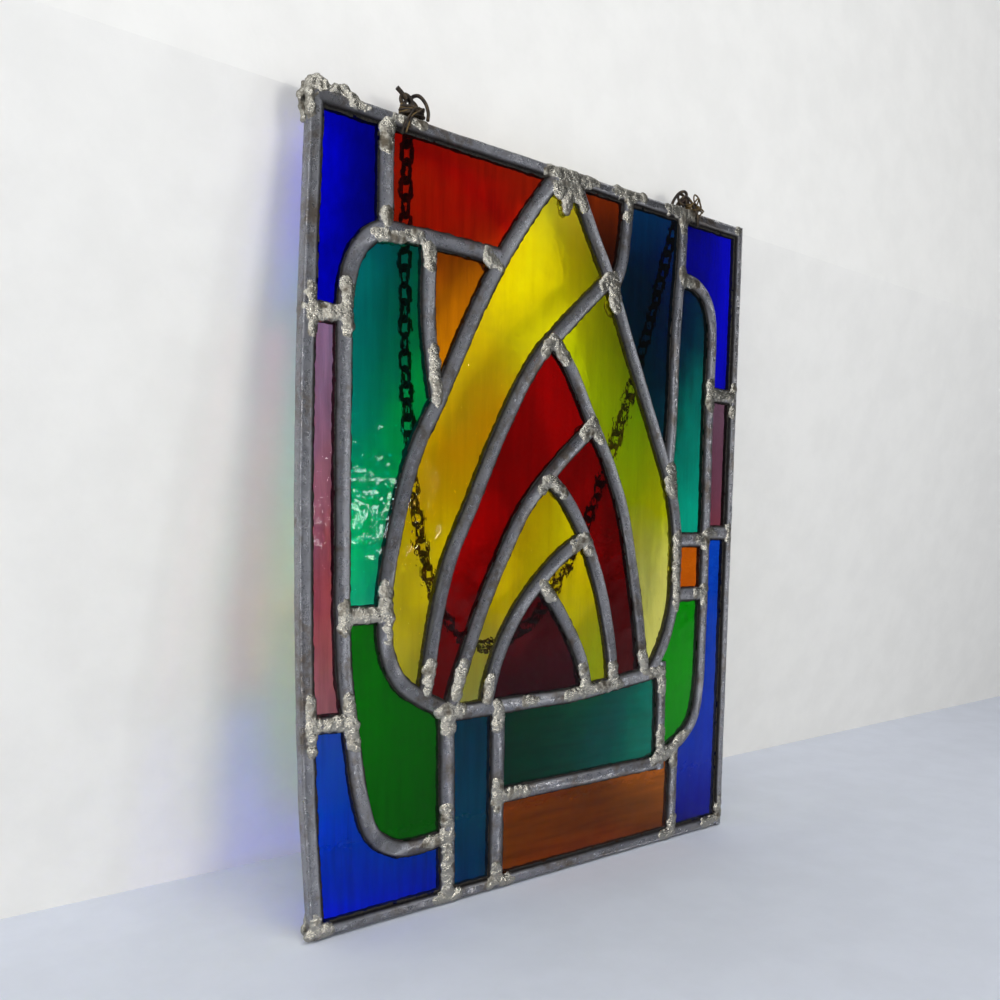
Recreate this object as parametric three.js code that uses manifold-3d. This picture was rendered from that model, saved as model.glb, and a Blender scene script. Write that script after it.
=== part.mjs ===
// A small leaded glass window, made to hang: twenty-five panes of coloured glass held in
// H-section lead cames, a U-section lead border, two hangers of twisted wire on the top edge,
// and the iron chain that hangs from them behind the panel.
//
// Millimetres, +Z up, +X to the right of someone who faces the panel, front face towards -Y.
// The origin is midway between the two hanger eyes, on the line that the window hangs from.
import * as THREE from 'three';
import { mergeVertices } from 'three/addons/utils/BufferGeometryUtils.js';
import Module from 'manifold-3d';

const wasm = await Module();
wasm.setup();

// ---------------------------------------------------------------- driving dimensions

const PANEL_WIDTH = 231;
const PANEL_HEIGHT = 300;
const EYE_RISE = 6.5; // how far the middle of a hanger's eye stands above the top edge
const EYE_HALF_SPAN = 75.2; // from the middle between the two eyes to each of them
const EYE_OFFSET = 3; // how far that middle stands to the right of the panel's own

const GLASS_THICKNESS = 3;
const CHANNEL = 3.6; // inside a came, between its two flanges
const CAME_THICKNESS = 6; // crown to crown
const CAME_FACE = 6.2; // width of lead that shows
const WIDE_FACE = 7.2; // the same on the two broader uprights at the bottom
const CROWN_SHARE = 0.5; // share of the face that the crown takes
const HEART = 1; // web between the two flanges
const BORDER_FACE = 5;
const BORDER_WALL = 1.2;
const BORDER_ROUND = 0.9; // rounding of the border's outer edges
const GAP = 0.3; // left between neighbouring pieces
const SAGITTA = 0.23; // how far a facet may stand off a curved came

const WIRE = 1.3; // hanger wire
const LINK_WIRE = 1.6;
const LINK_PITCH = 6.2; // inside length of a link, and so the step of the chain
const LINK_WIDTH = 6;
const LINK_WEAR = 0.15; // how deep a link is worn where its neighbour bears on it
const CHAIN_START = [2.3, -1.0]; // y and z where the chain's first link hangs on a hanger
const CHAIN_SAG = 208; // from there to the chain's lowest point
const CHAIN_STANDOFF = 7.2; // how far behind the panel's middle plane the chain drops
const CHAIN_LEAN = 0.12; // backward drift of the chain for each millimetre of drop
const CHAIN_SWAY = 0.072; // sideways drift of the same

// The torn heap of solder on the top left corner: u, v and radius of each lump.
const SOLDER_LUMPS = [[4.5, 299.3, 4], [9.5, 300.6, 3.2], [15.5, 300.9, 3]];

// ---------------------------------------------------------------- the drawing

// A point of the drawing is measured from the panel's bottom left corner: u to the right,
// v up. place() puts it in the part's frame, in the panel's middle plane.
function place([u, v]) {
  return new THREE.Vector3(u - PANEL_WIDTH / 2 - EYE_OFFSET, 0, v - PANEL_HEIGHT - EYE_RISE);
}

const W = PANEL_WIDTH;
const H = PANEL_HEIGHT;
const PAST = 6; // how far a bar's drawn line runs past a bowed or curved neighbour

// The centre line of every came, and the neighbours that its two ends butt against.
const CAMES = {
  came_flame_left: {
    line: [[114, 301], [98, 280.5], [78, 250], [53.3, 200], [43.3, 180], [34.6, 150],
      [30.2, 122], [31.4, 104], [37.2, 92], [47.5, 84.5], [60, 78]],
    butts: ['border_top', 'came_upright_petrol_left'],
  },
  came_flame_right: {
    line: [[118.5, 301], [130, 280.5], [142, 260.5], [157, 230.5], [172, 200.5], [186, 170.5],
      [190.4, 152], [191.3, 134], [189.3, 112], [184, 97], [178.5, 88], [174.5, 83]],
    butts: ['border_top', 'came_base', 'came_inner_right'],
  },
  came_inner_left: {
    line: [[142, 260.5], [117.5, 237.5], [101, 220], [83.5, 190], [69.5, 160], [60, 140],
      [54.2, 120], [50.6, 100], [48, 83.5]],
    butts: ['came_flame_right', 'came_flame_left'],
  },
  came_inner_right: {
    line: [[109, 231.5], [119.5, 221], [132, 201], [145, 180], [154, 160.5], [160.5, 137],
      [166, 112], [171, 82.5]],
    butts: ['came_inner_left', 'came_base'],
  },
  came_red_left: {
    line: [[134.8, 196.5], [117, 181], [97.5, 160], [85.8, 140], [76, 120], [68, 100],
      [62.8, 86], [60.5, 77.5]],
    butts: ['came_inner_right', 'came_base', 'came_upright_petrol_left', 'came_flame_left'],
  },
  came_red_right: {
    line: [[109.5, 173.5], [119.5, 164.5], [130, 150], [139.5, 130], [146, 110], [149.6, 92],
      [151, 80]],
    butts: ['came_red_left', 'came_base'],
  },
  came_heart_left: {
    line: [[131, 148], [115, 137.5], [98, 121], [90, 110], [83.6, 97], [80, 86], [78.3, 77.5]],
    butts: ['came_red_right', 'came_base'],
  },
  came_heart_right: {
    line: [[105.5, 129], [113.5, 120.5], [121, 110], [128, 99], [132.3, 89], [134.5, 78.5]],
    butts: ['came_heart_left', 'came_base'],
  },
  came_base: {
    line: [[59, 77.2], [97, 77.8], [127, 78.3], [152, 80.8], [183, 84.5]],
    butts: ['came_upright_petrol_left', 'came_upright_teal_end'],
  },
  came_left: {
    line: [[82.5, 258.8], [40, 259], [27, 257.8], [18.5, 249.5], [14, 236], [13, 205],
      [12.6, 150], [13.3, 100], [17, 71], [20.5, 49], [26, 34], [36, 27], [47, 26],
      [59.6, 27.3]],
    butts: ['came_flame_left', 'came_upright_petrol_left'],
  },
  came_right: {
    line: [[188, 268.8], [199, 267.3], [206.5, 262], [210.3, 254], [211.3, 243], [211, 205],
      [211.5, 160], [211.5, 100], [210.8, 74], [207.5, 58.5], [200, 50], [192, 45.5],
      [183.3, 42]],
    butts: ['came_upright_teal_left', 'came_upright_teal_end'],
  },
  came_upright_blue_left: {
    line: [[29.8, 301], [29.5, 259]],
    butts: ['border_top', 'came_left'],
  },
  came_upright_orange: {
    line: [[48.5, 258.9], [48.5, 228], [52.8, 199]],
    butts: ['came_left', 'came_flame_left'],
  },
  came_upright_brown: {
    line: [[152, 301], [151.2, 282], [148.5, 266], [143.8, 257]],
    butts: ['border_top', 'came_flame_right'],
  },
  came_upright_teal_left: {
    line: [[188, 301], [187.8, 278], [185.6, 245], [185, 205], [183.2, 176.5]],
    butts: ['border_top', 'came_flame_right'],
  },
  came_upright_petrol_left: {
    line: [[58.8, 81.5], [60, -1]],
    face: WIDE_FACE,
    butts: ['border_bottom'],
  },
  came_upright_petrol_right: {
    line: [[84.5, 77.6], [84.5, -1]],
    face: WIDE_FACE,
    butts: ['came_base', 'border_bottom'],
  },
  came_upright_teal_end: {
    line: [[182.8, 88.5], [183.6, 36]],
    butts: ['came_flame_right'],
  },
  came_upright_brown_end: {
    line: [[193.4, 46], [193, -1]],
    butts: ['came_right', 'border_bottom'],
  },
  came_bar_bottom: {
    line: [[84.5, 39.3], [183.5, 39.3]],
    butts: ['came_upright_petrol_right', 'came_upright_teal_end'],
  },
  came_bar_mauve_top: {
    line: [[-PAST, 226], [13.6, 226]],
    butts: ['border_left', 'came_left'],
  },
  came_bar_mauve_foot: {
    line: [[-PAST, 79.5], [15.4, 79.5]],
    butts: ['border_left', 'came_left'],
  },
  came_bar_green_left: {
    line: [[12.8, 118.6], [30.2, 118.6]],
    butts: ['came_left', 'came_flame_left'],
  },
  came_bar_purple_top: {
    line: [[211, 218], [W + 1, 217.5]],
    butts: ['came_right', 'border_right'],
  },
  came_bar_purple_foot: {
    line: [[211.5, 150.5], [W + 1, 150.5]],
    butts: ['came_right', 'border_right'],
  },
  came_bar_orange_top: {
    line: [[190.6, 146.8], [211.5, 147]],
    butts: ['came_flame_right', 'came_right'],
  },
  came_bar_orange_foot: {
    line: [[190.4, 120.5], [211.5, 120.5]],
    butts: ['came_flame_right', 'came_right'],
  },
};

// The outer edge of each border strip, drawn with the glass on its left, and the diagonals
// of its two mitres. The left side has bowed outwards.
const BORDERS = {
  border_bottom: { line: [[0, 0], [W, 0]], mitres: [[1, 1], [-1, 1]] },
  border_right: { line: [[W, 0], [W, H]], mitres: [[-1, 1], [-1, -1]] },
  border_top: { line: [[W, H], [0, H]], mitres: [[-1, -1], [1, -1]] },
  border_left: {
    line: [[0, H], [-2.3, 250], [-4, 196], [-4.5, 125], [-3, 50], [0, 0]],
    mitres: [[1, -1], [1, 1]],
  },
};

// Every pane: a point inside it, and its glass.
const PANES = {
  glass_blue_top_left: { at: [15, 275], glass: 'blue' },
  glass_mauve_left: { at: [5, 150], glass: 'mauve' },
  glass_blue_bottom_left: { at: [12, 20], glass: 'blue' },
  glass_orange_top: { at: [60, 280], glass: 'orange_red' },
  glass_teal_left: { at: [25, 200], glass: 'teal' },
  glass_orange_left: { at: [58, 240], glass: 'orange' },
  glass_green_left: { at: [40, 50], glass: 'green' },
  glass_petrol_bottom: { at: [72, 40], glass: 'petrol' },
  glass_teal_bottom: { at: [130, 60], glass: 'teal' },
  glass_brown_bottom: { at: [130, 20], glass: 'brown' },
  glass_yellow_flame: { at: [90, 240], glass: 'yellow' },
  glass_lime_flame: { at: [160, 170], glass: 'yellow' },
  glass_red_flame: { at: [100, 200], glass: 'red' },
  glass_red_inner: { at: [150, 130], glass: 'red' },
  glass_yellow_inner_left: { at: [95, 145], glass: 'yellow' },
  glass_yellow_inner_right: { at: [128, 125], glass: 'yellow' },
  glass_maroon_heart: { at: [105, 100], glass: 'maroon' },
  glass_brown_top: { at: [141, 285], glass: 'brown' },
  glass_petrol_right: { at: [170, 260], glass: 'petrol' },
  glass_teal_right: { at: [198, 200], glass: 'teal' },
  glass_blue_top_right: { at: [215, 285], glass: 'blue' },
  glass_purple_right: { at: [221, 185], glass: 'mauve' },
  glass_orange_right: { at: [201, 133], glass: 'orange' },
  glass_green_right: { at: [198, 85], glass: 'green' },
  glass_blue_bottom_right: { at: [221, 80], glass: 'blue' },
};

const GLASS_COLOURS = {
  blue: 0x0a18b8,
  mauve: 0x7b4a60,
  orange_red: 0xa02408,
  orange: 0xb85208,
  teal: 0x0a7058,
  green: 0x0a7a10,
  petrol: 0x083c5c,
  brown: 0x70300e,
  yellow: 0xd8c008,
  red: 0x7c0408,
  maroon: 0x48080e,
};

// ---------------------------------------------------------------- sweeping a section

// A path in the panel's plane, as stations and the directions that the section's two axes
// take there: first across the came, in the plane, then through it, towards the front.
class PanelPath extends THREE.Curve {
  constructor(stations, across) {
    super();
    this.stations = stations;
    this.across = across;
  }

  getPointAt(t) {
    return this.stations[Math.round(t * (this.stations.length - 1))].clone();
  }

  computeFrenetFrames() {
    const front = new THREE.Vector3(0, -1, 0);
    return {
      tangents: this.across.map((side) => new THREE.Vector3().crossVectors(side, front)),
      normals: this.across,
      binormals: this.across.map(() => front),
    };
  }
}

// Stations along a drawn line, closer together where it bends, so that each facet stands
// off the true curve by the same small amount.
function stationsOf(line) {
  const FINE = 400;
  const curve = new THREE.CatmullRomCurve3(line.map(place));
  const fine = curve.getSpacedPoints(FINE);
  const step = curve.getLength() / FINE;
  const load = [0];
  for (let i = 1; i < FINE; i++) {
    const before = new THREE.Vector3().subVectors(fine[i], fine[i - 1]);
    const after = new THREE.Vector3().subVectors(fine[i + 1], fine[i]);
    const bend = before.angleTo(after) / step;
    load.push(load[i - 1] + Math.sqrt(bend / (8 * SAGITTA)) * step);
  }
  load.push(load[FINE - 1]);
  const spans = Math.max(1, Math.ceil(load[FINE] - 0.1));
  const stations = [fine[0]];
  for (let s = 1; s < spans; s++) {
    stations.push(fine[load.findIndex((value) => value >= (load[FINE] * s) / spans)]);
  }
  stations.push(fine[FINE]);
  return stations;
}

// The unit direction to the left of travel at each station, seen from the front. At an inner
// station it is lengthened so that a swept band keeps its width round the bend.
function leftOf(stations) {
  const turned = (a, b) => {
    const along = new THREE.Vector3().subVectors(b, a).normalize();
    return new THREE.Vector3(-along.z, 0, along.x);
  };
  return stations.map((point, i) => {
    const before = turned(stations[Math.max(i - 1, 0)], stations[Math.max(i, 1)]);
    const last = stations.length - 1;
    const after = turned(stations[Math.min(i, last - 1)], stations[Math.min(i + 1, last)]);
    const mid = new THREE.Vector3().addVectors(before, after).normalize();
    return mid.divideScalar(mid.dot(before));
  });
}

function shapeOf(points) {
  return new THREE.Shape(points.map(([x, y]) => new THREE.Vector2(x, y)));
}

function sweep(section, stations, across = leftOf(stations)) {
  return new THREE.ExtrudeGeometry(shapeOf(section), {
    steps: stations.length - 1,
    bevelEnabled: false,
    extrudePath: new PanelPath(stations, across),
  });
}

// ---------------------------------------------------------------- solids

function solidOf(geometry) {
  const bare = geometry.clone();
  bare.deleteAttribute('normal');
  bare.deleteAttribute('uv');
  const merged = mergeVertices(bare, 1e-3);
  return new wasm.Manifold(new wasm.Mesh({
    numProp: 3,
    vertProperties: merged.attributes.position.array,
    triVerts: new Uint32Array(merged.index.array),
  }));
}

function geometryOf(solid) {
  const mesh = solid.getMesh();
  const geometry = new THREE.BufferGeometry();
  geometry.setAttribute('position', new THREE.BufferAttribute(mesh.vertProperties, 3));
  geometry.setIndex(new THREE.BufferAttribute(mesh.triVerts, 1));
  return geometry;
}

// The closed pieces that a solid falls into, each as its own geometry: triangles belong
// together when they share a vertex.
function piecesOf(solid) {
  const mesh = solid.getMesh();
  const parent = Array.from({ length: mesh.vertProperties.length / 3 }, (_, i) => i);
  const find = (i) => {
    while (parent[i] !== i) {
      parent[i] = parent[parent[i]];
      i = parent[i];
    }
    return i;
  };
  const triangles = mesh.triVerts;
  for (let i = 0; i < triangles.length; i += 3) {
    parent[find(triangles[i + 1])] = find(triangles[i]);
    parent[find(triangles[i + 2])] = find(triangles[i]);
  }
  const pieces = new Map();
  for (let i = 0; i < triangles.length; i += 3) {
    const key = find(triangles[i]);
    if (!pieces.has(key)) pieces.set(key, []);
    pieces.get(key).push(triangles[i], triangles[i + 1], triangles[i + 2]);
  }
  return [...pieces.values()].map((index) => {
    const geometry = new THREE.BufferGeometry();
    const position = new THREE.BufferAttribute(mesh.vertProperties, 3);
    geometry.setAttribute('position', position);
    geometry.setIndex(index);
    return geometry;
  });
}

// ---------------------------------------------------------------- leads

// Half of an H: one flange, from the heart out to its lip and over the crown to the other lip.
function cameSection(face) {
  const lip = face / 2;
  const crown = lip * CROWN_SHARE;
  const inner = CHANNEL / 2;
  const top = CAME_THICKNESS / 2;
  const web = HEART / 2;
  const flange = [[web, inner], [lip, inner], [crown, top], [-crown, top], [-lip, inner],
    [-web, inner]];
  return [...flange, ...flange.map(([x, y]) => [-x, -y])];
}

// A U with its back to the outside: x runs inwards from the panel's outer edge.
function borderSection() {
  const inner = CHANNEL / 2;
  const top = CAME_THICKNESS / 2;
  const shoulder = BORDER_FACE * 0.7;
  const half = [[BORDER_WALL, inner], [BORDER_FACE, inner], [shoulder, top],
    [BORDER_ROUND, top], [0, top - BORDER_ROUND]];
  const mirrored = half.map(([x, y]) => [x, -y]).reverse();
  return [...half, ...mirrored];
}

// A plain band, for cutting: from one side of the line to the other, right through.
function bandSection(low, high) {
  return [[low, -CAME_THICKNESS], [high, -CAME_THICKNESS], [high, CAME_THICKNESS],
    [low, CAME_THICKNESS]];
}

function borderPath(name) {
  const { line, mitres } = BORDERS[name];
  const stations = stationsOf(line);
  const across = leftOf(stations);
  const diagonals = mitres.map(([x, z]) => new THREE.Vector3(x, 0, z));
  const inset = (GAP / 2) * Math.SQRT2;
  [0, stations.length - 1].forEach((end, i) => {
    const neighbour = stations[end === 0 ? 1 : end - 1];
    const inwards = new THREE.Vector3().subVectors(neighbour, stations[end]).setLength(inset);
    stations[end].add(inwards);
    across[end] = diagonals[i];
  });
  return { stations, across };
}

// A straight-sided band along a came's line, which runs past both its ends by the gap.
function cameBand(name, half) {
  const stations = stationsOf(CAMES[name].line);
  const across = leftOf(stations);
  const last = stations.length - 1;
  const first = new THREE.Vector3().subVectors(stations[0], stations[1]).setLength(GAP);
  const final = new THREE.Vector3().subVectors(stations[last], stations[last - 1]);
  stations[0] = stations[0].clone().add(first);
  stations[last] = stations[last].clone().add(final.setLength(GAP));
  return solidOf(sweep(bandSection(-half, half), stations, across));
}

// What a came's end must stay clear of: its neighbour's full face, and the gap.
function faceBand(name) {
  if (name in BORDERS) {
    const { stations, across } = borderPath(name);
    return solidOf(sweep(bandSection(-PAST, BORDER_FACE + GAP), stations, across));
  }
  return cameBand(name, (CAMES[name].face ?? CAME_FACE) / 2 + GAP);
}

function cameSolid(name) {
  const { line, face = CAME_FACE, butts } = CAMES[name];
  const whole = solidOf(sweep(cameSection(face), stationsOf(line)));
  return butts.reduce((solid, neighbour) => solid.subtract(faceBand(neighbour)), whole);
}

// ---------------------------------------------------------------- glass

// One sheet that fills the border, parted along the heart of every came.
function glassPieces() {
  const inset = BORDER_WALL + GAP;
  const outline = [];
  for (const name of Object.keys(BORDERS)) {
    const { stations, across } = borderPath(name);
    const edge = stations.map((point, i) => point.clone().addScaledVector(across[i], inset));
    outline.push(...edge.slice(0, -1).map((point) => [point.x, point.z]));
  }
  const sheet = new THREE.ExtrudeGeometry(shapeOf(outline), {
    depth: GLASS_THICKNESS,
    bevelEnabled: false,
  });
  sheet.rotateX(Math.PI / 2);
  sheet.translate(0, GLASS_THICKNESS / 2, 0);
  const cuts = Object.keys(CAMES).map((name) => cameBand(name, HEART / 2 + GAP));
  return piecesOf(cuts.reduce((glass, cut) => glass.subtract(cut), solidOf(sheet)));
}

// Whether a drawn point lies under the front face of a piece of glass.
function covers(piece, point) {
  const position = piece.attributes.position;
  const index = piece.index.array;
  const target = place(point).setY(-GLASS_THICKNESS / 2);
  const corners = [new THREE.Vector3(), new THREE.Vector3(), new THREE.Vector3()];
  for (let i = 0; i < index.length; i += 3) {
    corners.forEach((corner, k) => corner.fromBufferAttribute(position, index[i + k]));
    const triangle = new THREE.Triangle(...corners);
    const flat = corners.every(({ y }) => Math.abs(y + GLASS_THICKNESS / 2) < 1e-3);
    if (flat && triangle.containsPoint(target)) return true;
  }
  return false;
}

// ---------------------------------------------------------------- chain

// The chain's hanging curve: a catenary between the two eyes, which drops behind the panel
// and drifts a little backwards and sideways on its way down.
class HangingCurve extends THREE.Curve {
  constructor() {
    super();
    this.a = catenaryParameter(EYE_HALF_SPAN, CHAIN_SAG);
  }

  getPoint(t) {
    const x = EYE_HALF_SPAN * (2 * t - 1);
    const drop = this.a * (Math.cosh(EYE_HALF_SPAN / this.a) - Math.cosh(x / this.a));
    const [startY, startZ] = CHAIN_START;
    const backwards = (CHAIN_STANDOFF - startY) * (1 - Math.exp(-drop / 4));
    const behind = startY + backwards + CHAIN_LEAN * drop;
    return new THREE.Vector3(x - CHAIN_SWAY * drop, behind, startZ - drop);
  }
}

// The catenary's parameter for a half span and a sag, by halving.
function catenaryParameter(halfSpan, sag) {
  let low = 5;
  let high = 500;
  for (let i = 0; i < 60; i++) {
    const a = (low + high) / 2;
    if (a * (Math.cosh(halfSpan / a) - 1) > sag) low = a;
    else high = a;
  }
  return low;
}

// A link: a six-sided ring of three-sided wire, its four corners drawn out so that a
// straight bar is left across each end for the next link to bear on. The tube's radius is
// negative, which turns the wire's section so that an edge of it faces the hole.
function linkGeometry() {
  const SIDES = 6;
  const ring = (LINK_WIDTH - LINK_WIRE) / 2;
  const tube = LINK_WIRE * 0.6;
  const link = new THREE.TorusGeometry(ring, -tube, 3, SIDES);
  link.rotateZ(Math.PI / SIDES);
  const innerEdge = (ring - tube) * Math.cos(Math.PI / SIDES);
  const lengthen = LINK_PITCH / 2 - LINK_WEAR - innerEdge;
  const widen = LINK_WIRE * 0.25;
  const position = link.attributes.position;
  for (let i = 0; i < position.count; i++) {
    const x = position.getX(i);
    const y = position.getY(i);
    const corner = Math.abs(x) > 1e-6;
    if (corner) position.setXY(i, x + Math.sign(x) * lengthen, y + Math.sign(y) * widen);
  }
  return link;
}

function chainSolid() {
  const curve = new HangingCurve();
  curve.arcLengthDivisions = 2000;
  const pairs = Math.round(curve.getLength() / LINK_PITCH / 2);
  const count = 2 * pairs - 1; // odd, so that both end links lie the same way
  const points = curve.getSpacedPoints(count);
  let chain = null;
  for (let i = 0; i < count; i++) {
    const along = new THREE.Vector3().subVectors(points[i + 1], points[i]).normalize();
    const out = new THREE.Vector3(0, 1, 0).addScaledVector(along, -along.y).normalize();
    const side = new THREE.Vector3().crossVectors(along, out);
    const flat = i % 2 === 1 ? [out, side] : [side, out.clone().negate()];
    const turn = new THREE.Matrix4().makeBasis(along, ...flat);
    const middle = new THREE.Vector3().addVectors(points[i], points[i + 1]).divideScalar(2);
    turn.setPosition(middle);
    const link = solidOf(linkGeometry().applyMatrix4(turn));
    chain = chain ? chain.add(link) : link;
  }
  return chain;
}

// ---------------------------------------------------------------- hangers

// One wire: up from a foot on the border's face, round itself above the edge, up into the
// eye, and down through the chain's first link to a foot on the back.
function hangerGeometry(side) {
  const reach = CAME_THICKNESS / 2 + GAP + WIRE / 2; // wire's distance from the middle plane
  const TURNS = 2;
  const PER_TURN = 8;
  const TURN_RISE = WIRE * 1.2;
  const FIRST_TURN = 1.3; // height of the first turn above the edge
  // Outwards from the eye's middle, backwards from the middle plane, up from the top edge.
  const points = [[3.2, -reach, -4.6], [3.1, -reach, -0.8], [2.9, -3.3, 1.1]];
  for (let i = 0; i <= TURNS * PER_TURN; i++) {
    const angle = (2 * Math.PI * i) / PER_TURN - Math.PI / 4;
    const height = FIRST_TURN + (TURN_RISE * i) / PER_TURN;
    points.push([2.6 * Math.cos(angle), 1.7 * Math.sin(angle), height]);
  }
  points.push(
    [0.8, -2, 5.8], [0, -1.7, 7.8], [0, -0.2, 9.2], [0, 1.8, 9.4], [0, 3.4, 8.6],
    [-0.2, 3.8, 7], [-0.2, 3.1, 3.2], [0.8, 3.3, 1], [2, reach, -0.8], [2.9, reach, -2.6],
    [3, reach, -4.6],
  );
  const path = new THREE.CatmullRomCurve3(points.map(([outwards, y, up]) => (
    new THREE.Vector3(side * (EYE_HALF_SPAN + outwards), y, up - EYE_RISE)
  )));
  const SIDES = 5;
  const corners = Array.from({ length: SIDES }, (_, i) => {
    const angle = (2 * Math.PI * i) / SIDES;
    return [(WIRE / 2) * Math.cos(angle), (WIRE / 2) * Math.sin(angle)];
  });
  return new THREE.ExtrudeGeometry(shapeOf(corners), {
    steps: 34,
    bevelEnabled: false,
    extrudePath: path,
  });
}

// ---------------------------------------------------------------- the solder heap

// The top border strip with the heap fused on to it. The heap stays above the channel, and
// clear of the mitre that the left strip ends in.
function toppedBorder(strip) {
  const FAR = 30;
  const floor = H - BORDER_WALL * 0.75;
  const mitre = H + 2 * GAP; // where the line that the heap keeps to meets the left edge
  const keptOff = [[-FAR, mitre + FAR], [mitre - floor, floor], [W, floor], [W, H - FAR],
    [-FAR, H - FAR]].map((point) => place(point)).map(({ x, z }) => [x, z]).reverse();
  const depth = 2 * CAME_THICKNESS;
  const below = new THREE.ExtrudeGeometry(shapeOf(keptOff), { depth, bevelEnabled: false });
  below.rotateX(Math.PI / 2).translate(0, depth / 2, 0);
  const lumps = SOLDER_LUMPS.map(([u, v, radius]) => {
    const { x, z } = place([u, v]);
    const lump = new THREE.SphereGeometry(radius, 7, 5);
    lump.scale(1.15, (CAME_THICKNESS * 0.55) / radius, 1);
    return solidOf(lump.translate(x, 0, z));
  });
  const heap = lumps.reduce((sum, lump) => sum.add(lump));
  return solidOf(strip).add(heap.subtract(solidOf(below)));
}

// ---------------------------------------------------------------- the window

const lead = { color: 0x82868c, roughness: 0.45, metalness: 0.85 };
const iron = { color: 0x2e2824, roughness: 0.6, metalness: 0.7 };
const window = new THREE.Group();
window.name = 'leaded_window';

function addPiece(name, geometry, finish) {
  const mesh = new THREE.Mesh(geometry, new THREE.MeshStandardMaterial(finish));
  mesh.name = name;
  window.add(mesh);
}

for (const name of Object.keys(BORDERS)) {
  const { stations, across } = borderPath(name);
  const strip = sweep(borderSection(), stations, across);
  const topped = name === 'border_top';
  addPiece(name, topped ? geometryOf(toppedBorder(strip)) : strip, lead);
}
for (const name of Object.keys(CAMES)) addPiece(name, geometryOf(cameSolid(name)), lead);

const pieces = glassPieces();
for (const [name, { at, glass }] of Object.entries(PANES)) {
  const pane = pieces.find((piece) => covers(piece, at));
  const color = GLASS_COLOURS[glass];
  addPiece(name, pane, { color, roughness: 0.08, metalness: 0 });
}

addPiece('hanger_left', hangerGeometry(-1), iron);
addPiece('hanger_right', hangerGeometry(1), iron);
addPiece('chain', geometryOf(chainSolid()), iron);

export default window;
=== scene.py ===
# %% [markdown]
# # A leaded glass window, dressed over its CAD frame
# The window is a small hanging panel: panes of coloured antique glass, held by H-shaped lead
# strips (cames) that are soldered where they meet, inside a border of U-shaped lead. Two wire
# hangers stand on the top edge and a light iron chain hangs behind the panel from them.
# The CAD model gives every size. Here each lead is drawn again with its real rounded face, and
# glass, solder, cement, wire and chain get the finish that handwork and age give them.

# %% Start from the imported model
import math
import random
import bmesh
import bpy
import numpy as np
from mathutils import Matrix, Vector


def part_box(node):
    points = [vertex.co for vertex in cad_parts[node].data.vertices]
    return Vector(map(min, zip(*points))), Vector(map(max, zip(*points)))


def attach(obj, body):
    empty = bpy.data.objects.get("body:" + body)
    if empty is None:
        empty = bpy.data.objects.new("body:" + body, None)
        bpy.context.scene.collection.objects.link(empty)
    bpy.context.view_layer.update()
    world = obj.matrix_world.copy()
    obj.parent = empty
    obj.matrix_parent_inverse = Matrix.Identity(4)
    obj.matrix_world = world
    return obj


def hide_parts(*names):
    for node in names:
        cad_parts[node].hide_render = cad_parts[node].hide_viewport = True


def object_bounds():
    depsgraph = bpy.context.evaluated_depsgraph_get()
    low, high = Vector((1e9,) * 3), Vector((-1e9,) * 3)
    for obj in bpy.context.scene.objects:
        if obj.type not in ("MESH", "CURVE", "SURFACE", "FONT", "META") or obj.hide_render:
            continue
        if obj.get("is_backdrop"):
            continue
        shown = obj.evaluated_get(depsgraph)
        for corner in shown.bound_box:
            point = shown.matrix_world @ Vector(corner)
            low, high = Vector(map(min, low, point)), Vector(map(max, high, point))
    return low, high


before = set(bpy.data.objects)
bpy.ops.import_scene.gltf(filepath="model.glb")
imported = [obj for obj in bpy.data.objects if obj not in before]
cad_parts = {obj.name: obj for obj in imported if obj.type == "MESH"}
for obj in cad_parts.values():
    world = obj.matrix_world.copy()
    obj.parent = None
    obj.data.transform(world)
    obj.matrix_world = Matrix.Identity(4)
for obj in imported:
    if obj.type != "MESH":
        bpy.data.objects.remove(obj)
CAD_BOX = [list(corner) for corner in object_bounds()]
MM = 0.001
print("nodes", len(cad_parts), "box", CAD_BOX)

# %% [markdown]
# ## Where things are
# A drawn point is measured as the maker of a window does it on the bench: u to the right and v
# up from the panel's bottom left corner, in millimetres. The corner itself comes from the CAD
# strips, so the drawing can't drift away from the frame.

# %% The bench drawing's corner
PANEL_WIDTH = 231.0
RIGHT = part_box("border_right")[1].x / MM
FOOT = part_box("border_bottom")[0].z / MM


def place(u, v, y=0.0):
    """A drawn point, in metres, at y millimetres behind the panel's middle plane."""
    return Vector(((RIGHT - PANEL_WIDTH + u) * MM, y * MM, (FOOT + v) * MM))


print("bottom left corner", tuple(round(c, 4) for c in place(0, 0)))

# %% [markdown]
# ## The camera
# The panel is seen from its left and a little above its middle, from close by, with a wide
# lens. A small upward shift keeps the uprights upright, as a view camera's rising front does.

# %% Set up the camera
camera = bpy.data.objects.new("camera", bpy.data.cameras.new("camera"))
bpy.context.scene.collection.objects.link(camera)
camera.data.lens, camera.data.sensor_width = 32.4, 36.0
camera.data.shift_y = 0.1
camera.data.clip_start, camera.data.clip_end = 0.02, 20.0
ahead = Vector((0.6058, 0.7912, -0.0843)).normalized()
above = Vector((0.0378, 0.0772, 0.9963))
across = ahead.cross(above).normalized()
camera.matrix_world = Matrix.Translation((-0.2583, -0.2948, -0.1533)) @ Matrix(
    (across, across.cross(ahead), -ahead)).transposed().to_4x4()
bpy.context.scene.camera = camera
bpy.context.scene.view_settings.view_transform = "Standard"
print("camera at", tuple(round(c, 4) for c in camera.matrix_world.translation))

# %% [markdown]
# ## Writing finishes as sums
# A finish is a small calculation: a bit of noise, a mask, a colour. Placing its nodes one by
# one hides the calculation, so a socket is wrapped in a class that knows plus, minus, times
# and divide. Everything that isn't arithmetic comes from one method, `node`.

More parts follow.
